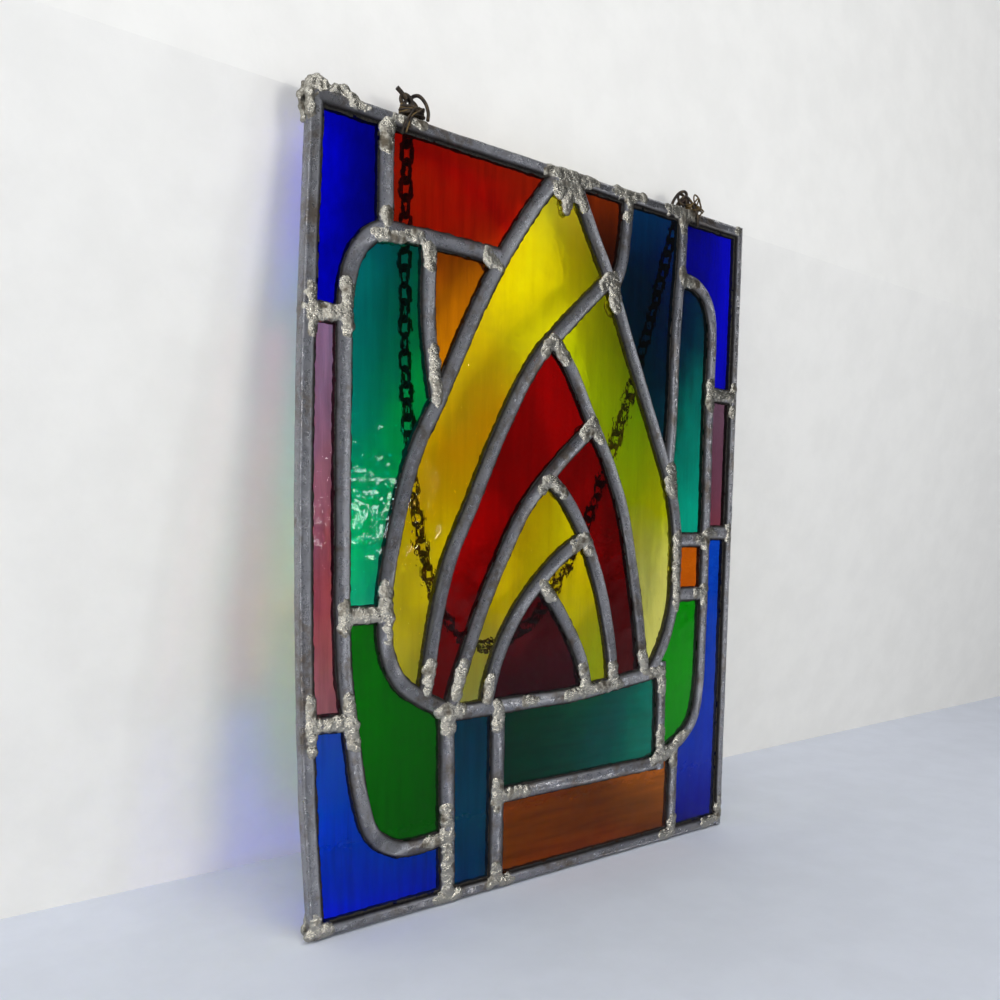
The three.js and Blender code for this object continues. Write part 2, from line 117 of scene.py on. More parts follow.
# %% Sockets that can be calculated with
class Wire:
    """An output socket. Arithmetic on it adds Math nodes."""

    def __init__(self, finish, socket):
        self.finish, self.socket = finish, socket

    def _math(self, operation, *values, clamp=False):
        return self.finish.node("ShaderNodeMath", {"operation": operation, "use_clamp": clamp},
                                dict(enumerate(values)))

    def __add__(self, other): return self._math("ADD", self, other)
    def __radd__(self, other): return self._math("ADD", other, self)
    def __sub__(self, other): return self._math("SUBTRACT", self, other)
    def __rsub__(self, other): return self._math("SUBTRACT", other, self)
    def __mul__(self, other): return self._math("MULTIPLY", self, other)
    def __rmul__(self, other): return self._math("MULTIPLY", other, self)
    def __truediv__(self, other): return self._math("DIVIDE", self, other)
    def __pow__(self, other): return self._math("POWER", self, other)
    def sine(self): return self._math("SINE", self)
    def within(self): return self._math("MULTIPLY", self, 1.0, clamp=True)

    def step(self, low, high):
        """0 below low, 1 above high, and smooth between."""
        return self.finish.node("ShaderNodeMapRange", {"interpolation_type": "SMOOTHSTEP"},
                                {"Value": self, "From Min": low, "From Max": high})


class Finish:
    """A material that is being made."""

    def __init__(self, name):
        self.material = bpy.data.materials.new(name)
        self.material.use_nodes = True
        self.tree = self.material.node_tree
        self.tree.nodes.clear()

    def node(self, kind, settings=None, inputs=None, out=0):
        made = self.tree.nodes.new(kind)
        for key, value in (settings or {}).items():
            if key == "stops":
                ramp = made.color_ramp
                while len(ramp.elements) < len(value):
                    ramp.elements.new(0.5)
                for element, (position, colour) in zip(ramp.elements, value):
                    element.position, element.color = position, (*colour, 1.0)
            else:
                setattr(made, key, value)
        for key, value in (inputs or {}).items():
            if isinstance(value, Wire):
                self.tree.links.new(value.socket, made.inputs[key])
            else:
                made.inputs[key].default_value = value
        return Wire(self, made.outputs[out])

    def coords(self):
        return self.node("ShaderNodeTexCoord", out="Object")

    def stretched(self, vector, scale):
        """Coordinates multiplied axis by axis, so that a pattern is drawn out."""
        return self.node("ShaderNodeVectorMath", {"operation": "MULTIPLY"},
                         {0: vector, 1: scale})

    def noise(self, vector, scale, detail=3.0, rough=0.55):
        return self.node("ShaderNodeTexNoise", None, {
            "Vector": vector, "Scale": scale, "Detail": detail, "Roughness": rough})

    def mix(self, share, first, second, blend="MIX"):
        colours = [c if isinstance(c, Wire) else (*c, 1.0) for c in (first, second)]
        return self.node("ShaderNodeMix", {"data_type": "RGBA", "blend_type": blend},
                         {0: share, 6: colours[0], 7: colours[1]}, out=2)

    def bump(self, height, distance, strength=1.0):
        return self.node("ShaderNodeBump", None, {
            "Strength": strength, "Distance": distance, "Height": height})

    def surface(self, shader):
        output = self.tree.nodes.new("ShaderNodeOutputMaterial")
        self.tree.links.new(shader.socket, output.inputs["Surface"])
        return self.material


def linear(red, green, blue):
    """A colour as a paint chart gives it, 0 to 255, turned into amounts of light."""
    return tuple(c / 12.92 if c <= 0.04045 else ((c + 0.055) / 1.055) ** 2.4
                 for c in (red / 255, green / 255, blue / 255))


print("slate grey is", tuple(round(c, 3) for c in linear(112, 120, 130)), "of the light")

# %% [markdown]
# ## The finish of old lead
# Came is drawn through a mill, which leaves fine lines along it, and then stretched, bent and
# pressed by hand, which dents it. In the air it dulls to a blue-grey, browner where hands and
# polish don't reach. The lines follow the strip, so they read an attribute that the sweep puts
# on the mesh: `girth`, how far round the section a point is. `rim` is 1 at the two lips. Towards
# them the face is painted darker: painted shade on the sloping flanks, which makes the lead look
# rounder, and darker patina where the lips meet the glass.

# %% Lead
def lead_finish(name, warmth=0.0):
    f = Finish(name)
    where = f.coords()
    girth = f.node("ShaderNodeAttribute", {"attribute_name": "girth"}, out="Fac")
    rim = f.node("ShaderNodeAttribute", {"attribute_name": "rim"}, out="Fac")
    cloud = f.noise(where, 70.0, 4.0, 0.6)
    patch = f.noise(where, 260.0, 5.0, 0.65)
    grime = f.noise(where, 900.0, 3.0, 0.6)
    brown = (cloud * 0.6 + patch * 0.4 + warmth).step(0.47, 0.66)
    dull = f.mix(brown, linear(146, 146, 150), linear(112, 102, 92))
    # Painted shade: darker towards the lips, where the flanks slope away, so that the came looks rounder;
    # it also stands for patina at the lips. The grime specks are dirt.
    shade = (rim.step(0.25, 1.05) * 0.95 + grime.step(0.58, 0.75) * 0.35).within()
    colour = f.mix(shade, dull, linear(34, 30, 28))
    lines = ((girth * 210.0 + patch * 3.0).sine()) * 0.12
    height = lines + cloud * 1.6 + patch * 0.8 + grime * 0.3
    return f.surface(f.node("ShaderNodeBsdfPrincipled", None, {
        "Base Color": colour, "Metallic": 0.97,
        "Roughness": 0.16 + patch * 0.24 + shade * 0.35,
        "Normal": f.bump(height, 0.00045, 0.8)}))


LEAD = lead_finish("lead")
print("made", LEAD.name)

# %% [markdown]
# ## The finish of solder
# Solder is tin and lead, and stays a little brighter than the came. It freezes in lumps with a
# grainy skin, and dull flux stains lie in its hollows.

# %% Solder
def solder_finish():
    f = Finish("solder")
    where = f.coords()
    lumps = f.noise(where, 420.0, 4.0, 0.6)
    grain = f.noise(where, 1800.0, 2.0, 0.5)
    stain = f.noise(where, 130.0, 4.0, 0.7).step(0.5, 0.68)
    colour = f.mix(stain, linear(166, 162, 151), linear(92, 84, 72))
    return f.surface(f.node("ShaderNodeBsdfPrincipled", None, {
        "Base Color": colour, "Metallic": 1.0,
        "Roughness": 0.18 + lumps * 0.16 + stain * 0.25,
        "Normal": f.bump(lumps * 1.0 + grain * 0.3, 0.0008, 0.9)}))


SOLDER = solder_finish()
print("made", SOLDER.name)

# %% [markdown]
# ## The finish of cement
# After soldering, a black putty is brushed under the lips of the leads to stop the panes
# rattling. It stays as a thin dark line along every lead.

# %% Cement
def cement_finish():
    f = Finish("cement")
    where = f.coords()
    crumbs = f.noise(where, 1500.0, 4.0, 0.65)
    colour = f.mix(crumbs.step(0.45, 0.7), linear(16, 14, 12), linear(58, 52, 40))
    return f.surface(f.node("ShaderNodeBsdfPrincipled", None, {
        "Base Color": colour, "Roughness": 0.75 + crumbs * 0.2,
        "Normal": f.bump(crumbs, 0.0004, 0.9)}))


CEMENT = cement_finish()
print("made", CEMENT.name)

# %% [markdown]
# ## Smooth lines from a few points
# A came runs along a smooth line through the points of the drawing. The CAD part uses a
# centripetal Catmull-Rom curve, which doesn't overshoot between points that stand unevenly,
# so the same curve is drawn here, in steps of about a millimetre.

# %% The drawn curve
def smooth(points, step):
    """Points about step apart on the curve through the given ones, in their own units."""
    p = [np.array(q, float) for q in points]
    p = [2 * p[0] - p[1], *p, 2 * p[-1] - p[-2]]
    fine = []
    for i in range(1, len(p) - 2):
        x0, x1, x2, x3 = p[i - 1:i + 3]
        d0, d1, d2 = (math.sqrt(np.linalg.norm(b - a)) for a, b in ((x0, x1), (x1, x2), (x2, x3)))
        t1 = ((x1 - x0) / d0 - (x2 - x0) / (d0 + d1) + (x2 - x1) / d1) * d1
        t2 = ((x2 - x1) / d1 - (x3 - x1) / (d1 + d2) + (x3 - x2) / d2) * d1
        for t in np.linspace(0, 1, 60, endpoint=False):
            fine.append(x1 + t1 * t + (3 * (x2 - x1) - 2 * t1 - t2) * t ** 2
                        + (2 * (x1 - x2) + t1 + t2) * t ** 3)
    fine = np.array([*fine, p[-2]])
    run = np.concatenate([[0], np.cumsum(np.linalg.norm(np.diff(fine, axis=0), axis=1))])
    at = np.linspace(0, run[-1], max(2, round(run[-1] / step) + 1))
    return np.array([[np.interp(a, run, fine[:, k]) for k in range(fine.shape[1])] for a in at])


print("a bend of", len(smooth([(0, 0), (20, 5), (30, 30)], 1.0)), "points")

# %% [markdown]
# ## A sweep, with Geometry Nodes
# Every lead is one section pushed along one line, which is what Curve to Mesh does. The line
# is the object's own mesh of edges, and the section is a second object. The curve's normal is
# held at the panel's front, so that the section never rolls. A little noise then dents the
# result, with the same seed each time.

# %% Build the sweep tree
def group(name, inputs):
    tree = bpy.data.node_groups.new(name, "GeometryNodeTree")
    tree.interface.new_socket("Geometry", in_out="INPUT", socket_type="NodeSocketGeometry")
    sockets = {label: tree.interface.new_socket(label, in_out="INPUT", socket_type=kind)
               for label, kind in inputs.items()}
    tree.interface.new_socket("Geometry", in_out="OUTPUT", socket_type="NodeSocketGeometry")
    return tree, sockets


def adder(tree):
    """A function that adds a node: settings first, then values and links."""
    def add(kind, settings=None, inputs=None):
        made = tree.nodes.new(kind)
        for key, value in (settings or {}).items():
            setattr(made, key, value)
        for key, value in (inputs or {}).items():
            if isinstance(value, bpy.types.NodeSocket):
                tree.links.new(value, made.inputs[key])
            else:
                made.inputs[key].default_value = value
        return made
    return add


def dented(add, geometry, given):
    """Moves every point by noise, as handling and pressing do."""
    where = add("GeometryNodeInputPosition").outputs[0]
    shake = add("ShaderNodeTexNoise", {"noise_dimensions": "4D"}, {
        "Vector": where, "W": given["Seed"], "Scale": given["Dents per metre"], "Detail": 2.0})
    centred = add("ShaderNodeVectorMath", {"operation": "SUBTRACT"},
                  {0: shake.outputs["Color"], 1: (0.5, 0.5, 0.5)})
    offset = add("ShaderNodeVectorMath", {"operation": "SCALE"},
                 {0: centred.outputs[0], "Scale": given["Dent"]})
    return add("GeometryNodeSetPosition", None,
               {"Geometry": geometry, "Offset": offset.outputs[0]}).outputs[0]


def ended(add, given, geometry):
    """Closes a tree: real geometry, with its finish on it."""
    whole = add("GeometryNodeRealizeInstances", None, {"Geometry": geometry})
    done = add("GeometryNodeSetMaterial", None,
               {"Geometry": whole.outputs[0], "Material": given["Finish"]})
    add("NodeGroupOutput", None, {"Geometry": done.outputs[0]})


SWEEP, SWEEP_INPUTS = group("lead sweep", {
    "Section": "NodeSocketObject", "Dent": "NodeSocketFloat",
    "Dents per metre": "NodeSocketFloat", "Seed": "NodeSocketFloat",
    "Finish": "NodeSocketMaterial"})
add = adder(SWEEP)
given = add("NodeGroupInput").outputs
line = add("GeometryNodeMeshToCurve", None, {"Mesh": given["Geometry"]})
held = add("GeometryNodeSetCurveNormal", {"mode": "FREE"},
           {"Curve": line.outputs[0], "Normal": (0.0, -1.0, 0.0)})
section = add("GeometryNodeObjectInfo", None, {"Object": given["Section"]})
ring = add("GeometryNodeMeshToCurve", None, {"Mesh": section.outputs["Geometry"]})
skin = add("GeometryNodeCurveToMesh", None, {
    "Curve": held.outputs[0], "Profile Curve": ring.outputs[0], "Fill Caps": True})
ended(add, given, dented(add, skin.outputs[0], given))
print("sweep tree of", len(SWEEP.nodes), "nodes")

# %% [markdown]
# ## Turning a live piece into a plain one
# The finished window must not depend on modifiers, so each piece is evaluated once and keeps
# the mesh that comes out. `finished` also says which faces meet at a sharp edge.

# %% Making and finishing pieces
def linked(name, mesh):
    made = bpy.data.objects.new(name, mesh)
    bpy.context.scene.collection.objects.link(made)
    return made


def chains(name, lines, closed=False):
    """An object of bare edges: each line is a run of points in metres."""
    mesh = bpy.data.meshes.new(name)
    points, edges = [], []
    for run in lines:
        start, count = len(points), len(run)
        points.extend(tuple(p) for p in run)
        edges.extend((start + i, start + i + 1) for i in range(count - 1))
        if closed:
            edges.append((start + count - 1, start))
    mesh.from_pydata(points, edges, [])
    return linked(name, mesh)


def driven(piece, tree, sockets, values):
    modifier = piece.modifiers.new(tree.name, "NODES")
    modifier.node_group = tree
    for label, value in values.items():
        modifier[sockets[label].identifier] = value
    return modifier


def kept_inside(piece):
    """Presses what stands out past the CAD model's box back onto it."""
    flat = np.empty(len(piece.data.vertices) * 3, np.float32)
    piece.data.vertices.foreach_get("co", flat)
    low, high = (np.tile(np.array(corner, np.float32), len(flat) // 3) for corner in CAD_BOX)
    piece.data.vertices.foreach_set("co", np.clip(flat, low, high))
    piece.data.update()
    return piece


def finished(piece, sharp=40.0):
    graph = bpy.context.evaluated_depsgraph_get()
    mesh = bpy.data.meshes.new_from_object(piece.evaluated_get(graph))
    piece.modifiers.clear()
    old, piece.data = piece.data, mesh
    bpy.data.meshes.remove(old)
    mesh.shade_smooth()
    mesh.set_sharp_from_angle(angle=math.radians(sharp))
    return kept_inside(piece)


def triangles(piece):
    return sum(len(polygon.vertices) - 2 for polygon in piece.data.polygons)


print("helpers ready")

# %% [markdown]
# ## The sections of the leads
# An H came has a rounded face on both sides, thin lips that cover the glass, and a heart
# between the panes. The border is a U, with its back outwards. Each section is a closed ring
# of points, with `girth` and `rim` stored on it: Curve to Mesh hands them on to the skin.

# %% Draw the sections
LIP_HEIGHT, CROWN_HEIGHT = 1.85, 3.0
CHANNEL, HEART = 3.5, 1.0


def section_object(name, points, rims):
    ring = chains(name, [[(y * MM, -x * MM, 0) for x, y in points]], closed=True)
    girth = np.concatenate([[0], np.cumsum([math.dist(a, b) for a, b in zip(points, points[1:])])])
    for label, values in (("girth", girth), ("rim", rims)):
        ring.data.attributes.new(label, "FLOAT", "POINT").data.foreach_set(
            "value", np.array(values, np.float32))
    return ring


def flange(half):
    """The rounded face from the right lip over the crown to the left one."""
    face = []
    for k in range(13):
        turn = math.pi * k / 12
        rise = math.sin(turn) ** 1.05
        face.append((half * math.cos(turn), LIP_HEIGHT + (CROWN_HEIGHT - LIP_HEIGHT) * rise))
    return face


def came_section(name, face):
    half, inner, web = face / 2, CHANNEL / 2, HEART / 2
    upper = flange(half)
    under = [(-half + 0.05, inner), (-web, inner)]
    points = upper + under
    points += [(-x, -y) for x, y in upper + under]
    # rim grows towards the lips; the lead's finish paints shade with it on the sloping flanks.
    rims = ([abs(x / half) ** 2.2 for x, _ in upper] + [1, 1]) * 2
    return section_object(name, points, rims)


def border_section(name, face):
    wall, inner, top = 1.2, CHANNEL / 2, CROWN_HEIGHT
    half = [(wall, inner), (face - 0.05, inner), (face, LIP_HEIGHT + 0.1)]
    half += [(face - 1.6 * (1 - math.cos(a)), LIP_HEIGHT + 0.1 + (top - LIP_HEIGHT - 0.1)
              * math.sin(a)) for a in np.linspace(0.3, math.pi / 2, 6)]
    half += [(1.3 - 1.3 * math.sin(a), top - 1.3 + 1.3 * math.cos(a))
             for a in np.linspace(0, math.pi / 2, 6)]
    points = half + [(x, -y) for x, y in reversed(half)]
    # rim grows towards the inner lip; the lead's finish paints shade with it on the border's face.
    rims = [min(max((x - 2.2) / (face - 2.4), 0.0), 1.0) ** 1.5 for x, _ in half]
    return section_object(name, points, rims + rims[::-1])


CAME_FACE, WIDE_FACE, BORDER_FACE = 6.2, 7.2, 5.0
SECTIONS = {"came": came_section("came section", CAME_FACE),
            "wide": came_section("wide section", WIDE_FACE),
            "border": border_section("border section", BORDER_FACE)}
print({name: len(ring.data.vertices) for name, ring in SECTIONS.items()})

# %% [markdown]
# ## The lines of the leads
# These are the centre lines of the cames and the outer edges of the border, as the maker drew
# them: two flame lines that cross near the top, three smaller flames inside them, the bars and
# uprights that tie them to the border. A came stops just inside the lead that it butts
# against, so that the two look soldered together and not threaded through.

# %% The drawing
LINES = {
    "came_flame_left": [(114, 301), (98, 280.5), (78, 250), (53.3, 200), (43.3, 180),
                        (34.6, 150), (30.2, 122), (31.4, 104), (37.2, 92), (47.5, 84.5), (60, 78)],
    "came_flame_right": [(118.5, 301), (130, 280.5), (142, 260.5), (157, 230.5), (172, 200.5),
                         (186, 170.5), (190.4, 152), (191.3, 134), (189.3, 112), (184, 97),
                         (178.5, 88), (174.5, 83)],
    "came_inner_left": [(142, 260.5), (117.5, 237.5), (101, 220), (83.5, 190), (69.5, 160),
                        (60, 140), (54.2, 120), (50.6, 100), (48, 83.5)],
    "came_inner_right": [(109, 231.5), (119.5, 221), (132, 201), (145, 180), (154, 160.5),
                         (160.5, 137), (166, 112), (171, 82.5)],
    "came_red_left": [(134.8, 196.5), (117, 181), (97.5, 160), (85.8, 140), (76, 120),
                      (68, 100), (62.8, 86), (60.5, 77.5)],
    "came_red_right": [(109.5, 173.5), (119.5, 164.5), (130, 150), (139.5, 130), (146, 110),
                       (149.6, 92), (151, 80)],
    "came_heart_left": [(131, 148), (115, 137.5), (98, 121), (90, 110), (83.6, 97), (80, 86),
                        (78.3, 77.5)],
    "came_heart_right": [(105.5, 129), (113.5, 120.5), (121, 110), (128, 99), (132.3, 89),
                         (134.5, 78.5)],
    "came_base": [(59, 77.2), (97, 77.8), (127, 78.3), (152, 80.8), (183, 84.5)],
    "came_left": [(82.5, 258.8), (40, 259), (27, 257.8), (18.5, 249.5), (14, 236), (13, 205),
                  (12.6, 150), (13.3, 100), (17, 71), (20.5, 49), (26, 34), (36, 27), (47, 26),
                  (59.6, 27.3)],
    "came_right": [(188, 268.8), (199, 267.3), (206.5, 262), (210.3, 254), (211.3, 243),
                   (211, 205), (211.5, 160), (211.5, 100), (210.8, 74), (207.5, 58.5),
                   (200, 50), (192, 45.5), (183.3, 42)],
    "came_upright_blue_left": [(29.8, 301), (29.5, 259)],
    "came_upright_orange": [(48.5, 258.9), (48.5, 228), (52.8, 199)],
    "came_upright_brown": [(152, 301), (151.2, 282), (148.5, 266), (143.8, 257)],
    "came_upright_teal_left": [(188, 301), (187.8, 278), (185.6, 245), (185, 205),
                               (183.2, 176.5)],
    "came_upright_petrol_left": [(58.8, 81.5), (60, -1)],
    "came_upright_petrol_right": [(84.5, 77.6), (84.5, -1)],
    "came_upright_teal_end": [(182.8, 88.5), (183.6, 36)],
    "came_upright_brown_end": [(193.4, 46), (193, -1)],
    "came_bar_bottom": [(84.5, 39.3), (183.5, 39.3)],
    "came_bar_mauve_top": [(-6, 226), (13.6, 226)],
    "came_bar_mauve_foot": [(-6, 79.5), (15.4, 79.5)],
    "came_bar_green_left": [(12.8, 118.6), (30.2, 118.6)],
    "came_bar_purple_top": [(211, 218), (232, 217.5)],
    "came_bar_purple_foot": [(211.5, 150.5), (232, 150.5)],
    "came_bar_orange_top": [(190.6, 146.8), (211.5, 147)],
    "came_bar_orange_foot": [(190.4, 120.5), (211.5, 120.5)],
    "border_bottom": [(0, 0), (231, 0)],
    "border_right": [(231, 0), (231, 300)],
    "border_top": [(231, 300), (0, 300)],
    "border_left": [(0, 300), (-2.3, 250), (-4, 196), (-4.5, 125), (-3, 50), (0, 0)],
}
BUTTS = {
    "came_flame_left": ["border_top", "came_upright_petrol_left"],
    "came_flame_right": ["border_top", "came_base", "came_inner_right"],
    "came_inner_left": ["came_flame_right", "came_flame_left"],
    "came_inner_right": ["came_inner_left", "came_base"],
    "came_red_left": ["came_inner_right", "came_base", "came_upright_petrol_left",
                      "came_flame_left"],
    "came_red_right": ["came_red_left", "came_base"],
    "came_heart_left": ["came_red_right", "came_base"],
    "came_heart_right": ["came_heart_left", "came_base"],
    "came_base": ["came_upright_petrol_left", "came_upright_teal_end"],
    "came_left": ["came_flame_left", "came_upright_petrol_left"],
    "came_right": ["came_upright_teal_left", "came_upright_teal_end"],
    "came_upright_blue_left": ["border_top", "came_left"],
    "came_upright_orange": ["came_left", "came_flame_left"],
    "came_upright_brown": ["border_top", "came_flame_right"],
    "came_upright_teal_left": ["border_top", "came_flame_right"],
    "came_upright_petrol_left": ["border_bottom"],
    "came_upright_petrol_right": ["came_base", "border_bottom"],
    "came_upright_teal_end": ["came_flame_right"],
    "came_upright_brown_end": ["came_right", "border_bottom"],
    "came_bar_bottom": ["came_upright_petrol_right", "came_upright_teal_end"],
    "came_bar_mauve_top": ["border_left", "came_left"],
    "came_bar_mauve_foot": ["border_left", "came_left"],
    "came_bar_green_left": ["came_left", "came_flame_left"],
    "came_bar_purple_top": ["came_right", "border_right"],
    "came_bar_purple_foot": ["came_right", "border_right"],
    "came_bar_orange_top": ["came_flame_right", "came_right"],
    "came_bar_orange_foot": ["came_flame_right", "came_right"],
    "border_bottom": ["border_left", "border_right"],
    "border_top": ["border_left", "border_right"],
}
WIDE = ("came_upright_petrol_left", "came_upright_petrol_right")
CURVES = {name: smooth(line, 1.0) for name, line in LINES.items()}


def reaches(point, neighbour):
    """Whether a point is under the middle of a neighbour's face."""
    inside = 3.6 if neighbour.startswith("border") else 1.6
    return np.min(np.linalg.norm(CURVES[neighbour] - point, axis=1)) < inside


def trimmed(name):
    """A lead's line, from its middle out to where it meets the leads that it butts against."""
    curve, butts = CURVES[name], BUTTS.get(name, ())
    first = last = len(curve) // 2
    while first > 0 and not any(reaches(curve[first], other) for other in butts):
        first -= 1
    while last < len(curve) - 1 and not any(reaches(curve[last], other) for other in butts):
        last += 1
    return curve[first:last + 1]


RUNS = {name: trimmed(name) for name in LINES}
print(len(RUNS), "leads,", round(sum(len(run) for run in RUNS.values()) / 1000, 2), "m of lead")

# %% [markdown]
# ## The leads
# Each came and each border strip is swept on its own, and stands for its CAD node. The dents
# are wider than they are deep, as a thumb and a fid leave them.

# %% Sweep the leads
def sweep_lead(name, seed):
    kind = "border" if name.startswith("border") else "wide" if name in WIDE else "came"
    piece = chains(name + "_lead", [[place(u, v) for u, v in RUNS[name]]])
    driven(piece, SWEEP, SWEEP_INPUTS, {
        "Section": SECTIONS[kind], "Dent": 0.55 * MM, "Dents per metre": 95.0,
        "Seed": float(seed), "Finish": LEAD})
    finished(piece)
    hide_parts(name)
    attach(piece, "root")
    return piece


LEADS = [sweep_lead(name, seed) for seed, name in enumerate(LINES)]
print(len(LEADS), "leads of", sum(triangles(piece) for piece in LEADS), "triangles")

# %% [markdown]
# ## The cement under the lips
# The cement is a band that is a little wider than the lead, low enough to hide inside the
# channel. Only its ragged edges show. The same sweep makes it, with finer and rougher noise.

# %% Brush in the cement
CEMENT_SHOWS = 0.62  # how far it stands out from under a lip


def cement_section(name, half):
    low = CHANNEL / 2 - 0.1
    points = [(half, -0.9), (half, 0.9), (half - 0.35, low), (-half + 0.35, low), (-half, 0.9),
              (-half, -0.9), (-half + 0.35, -low), (half - 0.35, -low)]
    return section_object(name, points, [0.0] * len(points))


bands = {}
for kind, names in (("came", [n for n in LINES if n.startswith("came") and n not in WIDE]),
                    ("wide", WIDE), ("border", [n for n in LINES if n.startswith("border")])):
    half = {"came": CAME_FACE / 2, "wide": WIDE_FACE / 2, "border": 0.9}[kind] + CEMENT_SHOWS
    inset = BORDER_FACE - 0.5 if kind == "border" else 0.0
    lines = []
    for name in names:
        run = smooth(RUNS[name], 0.6)
        along = np.gradient(run, axis=0)
        along /= np.linalg.norm(along, axis=1)[:, None]
        lines.append([place(*(q + inset * np.array((-t[1], t[0])))) for q, t in zip(run, along)])
    band = chains("cement_" + kind, lines)
    section = cement_section("cement section " + kind, half)
    driven(band, SWEEP, SWEEP_INPUTS, {
        "Section": section, "Dent": 1.5 * MM, "Dents per metre": 300.0,
        "Seed": 40.0 + len(bands), "Finish": CEMENT})
    bands[kind] = finished(band, 60.0)
    bpy.data.objects.remove(section)
    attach(band, "root")
for section in SECTIONS.values():
    bpy.data.objects.remove(section)
print({kind: triangles(band) for kind, band in bands.items()})

# %% [markdown]
# ## Solder where leads meet
# Each joint gets a run of solder, front and back, drawn out by the iron. A run is a row of
# flattened balls between two points. Geometry Nodes places the balls, each of its own size;
# remeshing melts them into one skin, and noise roughens it.

# %% Solder runs: from, to, and half width
SOLDER_RUNS = [
    # along the top border
    ((33, 298), (46, 298), 2.7), ((104, 297.5), (128, 297.5), 3.2), ((110, 292), (123, 292), 4.2),
    ((116, 288), (116, 284), 3.4), ((127, 298), (133, 298), 2.7), ((142, 298), (162, 298), 2.8),
    ((176, 298), (196, 298), 3), ((226, 298), (228.5, 298), 3),
    # uprights of the top row
    ((29.7, 296), (29.6, 286), 3.4), ((29.5, 267), (29.5, 261), 3.3), ((24, 256), (45, 259), 2.9),
    ((122, 294), (126.5, 286), 3.1), ((152, 296), (151.5, 287), 3.4),
    ((188, 297), (188, 289), 3.2), ((188, 273), (188, 266), 3.7), ((188, 268.6), (199, 267.6), 3.1),
    # the flame's upper joints
    ((74, 258.6), (81, 254.5), 3.8), ((48.5, 257), (48.5, 247), 3.3), ((50, 220), (52.8, 198), 3.1),
    ((144, 262), (146, 249), 4.2), ((141, 261.5), (137, 256), 3.4),
    ((110, 231), (118, 222.5), 3.4), ((104.5, 223.5), (110, 230), 3.1),
    ((134, 197), (128, 191.5), 3.6), ((133, 199.5), (138, 190.5), 3.1),
    ((110, 173.2), (118, 166), 3.4), ((104, 167), (110, 173), 3), ((131, 148), (124, 143), 3.4),
    ((130.5, 149), (134, 141), 3), ((106, 128.5), (113, 121.5), 3.3), ((184, 182), (186.6, 169), 4.3),
    # left side bars
    ((-1, 226), (13, 226), 3.4), ((0, 235), (0, 218), 2.8), ((14, 238), (13.5, 219), 3.3),
    ((13, 118.6), (30, 118.6), 3.5), ((12.8, 124), (13, 112), 3.1), ((30.3, 130), (31, 108), 3.2),
    ((-1.5, 79.5), (14, 79.5), 3.2), ((-0.5, 90), (0, 69), 2.8), ((14.6, 89), (17.4, 69), 3.3),
    # feet of the flames
    ((50.6, 99), (48.8, 87), 3.1), ((66.6, 97), (62.4, 84), 3.2), ((81, 91), (78.6, 81), 3.1),
    ((130.8, 92), (134, 81), 3.2), ((149.7, 91), (151, 82), 3.3), ((168.7, 95), (170.6, 85), 3.5),
    ((55, 79), (67, 77.5), 3.8), ((58.8, 80), (59.2, 69), 3.7), ((122, 78.3), (156, 81), 3.1),
    ((174, 83.5), (183, 84.5), 3.6), ((183, 85), (183, 73), 3.2), ((97, 77.8), (105, 78), 3),
    # bottom row
    ((49, 26.2), (57, 27), 3.2), ((59.3, 40), (59.9, 5), 3.5), ((53, 2.4), (67, 2.4), 2.8),
    ((84.5, 78), (84.5, 69), 3.8), ((84.5, 46), (84.5, 34), 3.4), ((84.5, 9), (84.5, 3), 3.7),
    ((80, 2.4), (93, 2.4), 2.8), ((87, 39.3), (101, 39.3), 3.1), ((183.4, 57), (183.6, 40), 3.3),
    ((177, 39.6), (190, 43.8), 3.6), ((190, 44.5), (202, 51.5), 3.1), ((193.2, 43), (193.2, 36), 3),
    ((193, 11), (193, 3), 3.5), ((185, 2.4), (194, 2.4), 2.8), ((216, 2.5), (228, 2.6), 3.1),
    ((228.6, 3), (228.6, 14), 2.8), ((0, 2.6), (8, 2.6), 3.2), ((2.2, 3), (1.6, 9), 2.6),
    # right side bars
    ((190.6, 151), (191.2, 114), 3.2), ((211.5, 152), (211.5, 142), 3.3), ((204, 147), (211, 147), 3),
    ((211.5, 125), (211.5, 115), 3.2), ((204, 120.5), (211, 120.5), 3),
    ((211, 224), (211.2, 210), 3.3), ((212, 217.8), (228, 217.6), 2.9), ((228.3, 223), (228.3, 208), 2.7),
    ((212, 150.5), (218, 150.5), 3), ((228.3, 155), (228.3, 146), 2.6),
]
# The torn heap on the top left corner is built of small lumps, and crumples more.
HEAP_RUNS = [
    ((-0.5, 300.8), (5, 301.8), 1.9), ((1.5, 302.8), (4.5, 303), 1.1), ((9, 301.6), (13, 302), 1.7),
    ((13, 301), (17, 299.2), 1.7), ((5, 300.6), (9, 300.2), 1.5), ((-0.6, 298), (0, 290), 1.9),
    ((0.6, 299.4), (4, 299), 2.2), ((14, 298.2), (22, 297.8), 1.7),
]


BALL_STEP = 0.36  # from ball to ball, as a share of the run's half width
BALL_HEIGHT = 2.1  # from the panel's middle plane to the middle of a ball
VOXEL = 0.5  # how finely the balls are melted together


def balls_along(runs, wander, thin, thick):
    """Where the balls of some runs lie, and their sizes: front and back alike."""
    balls, sizes = [], []
    for (u0, v0), (u1, v1), half in runs:
        count = max(2, round(math.hypot(u1 - u0, v1 - v0) / (BALL_STEP * half)))
        for k in range(count + 1):
            share = k / count
            for side in (-1, 1):
                balls.append(place(u0 + (u1 - u0) * share + random.gauss(0, wander * half),
                                   v0 + (v1 - v0) * share + random.gauss(0, wander * half),
                                   side * BALL_HEIGHT))
                swell = half * random.uniform(0.84, 1.04) * (0.8 if k in (0, count) else 1.0)
                sizes.append((swell * MM, random.uniform(thin, thick) * MM, swell * MM))
    return balls, sizes


random.seed(11)
print(len(SOLDER_RUNS), "joints and", len(HEAP_RUNS), "runs in the heap")

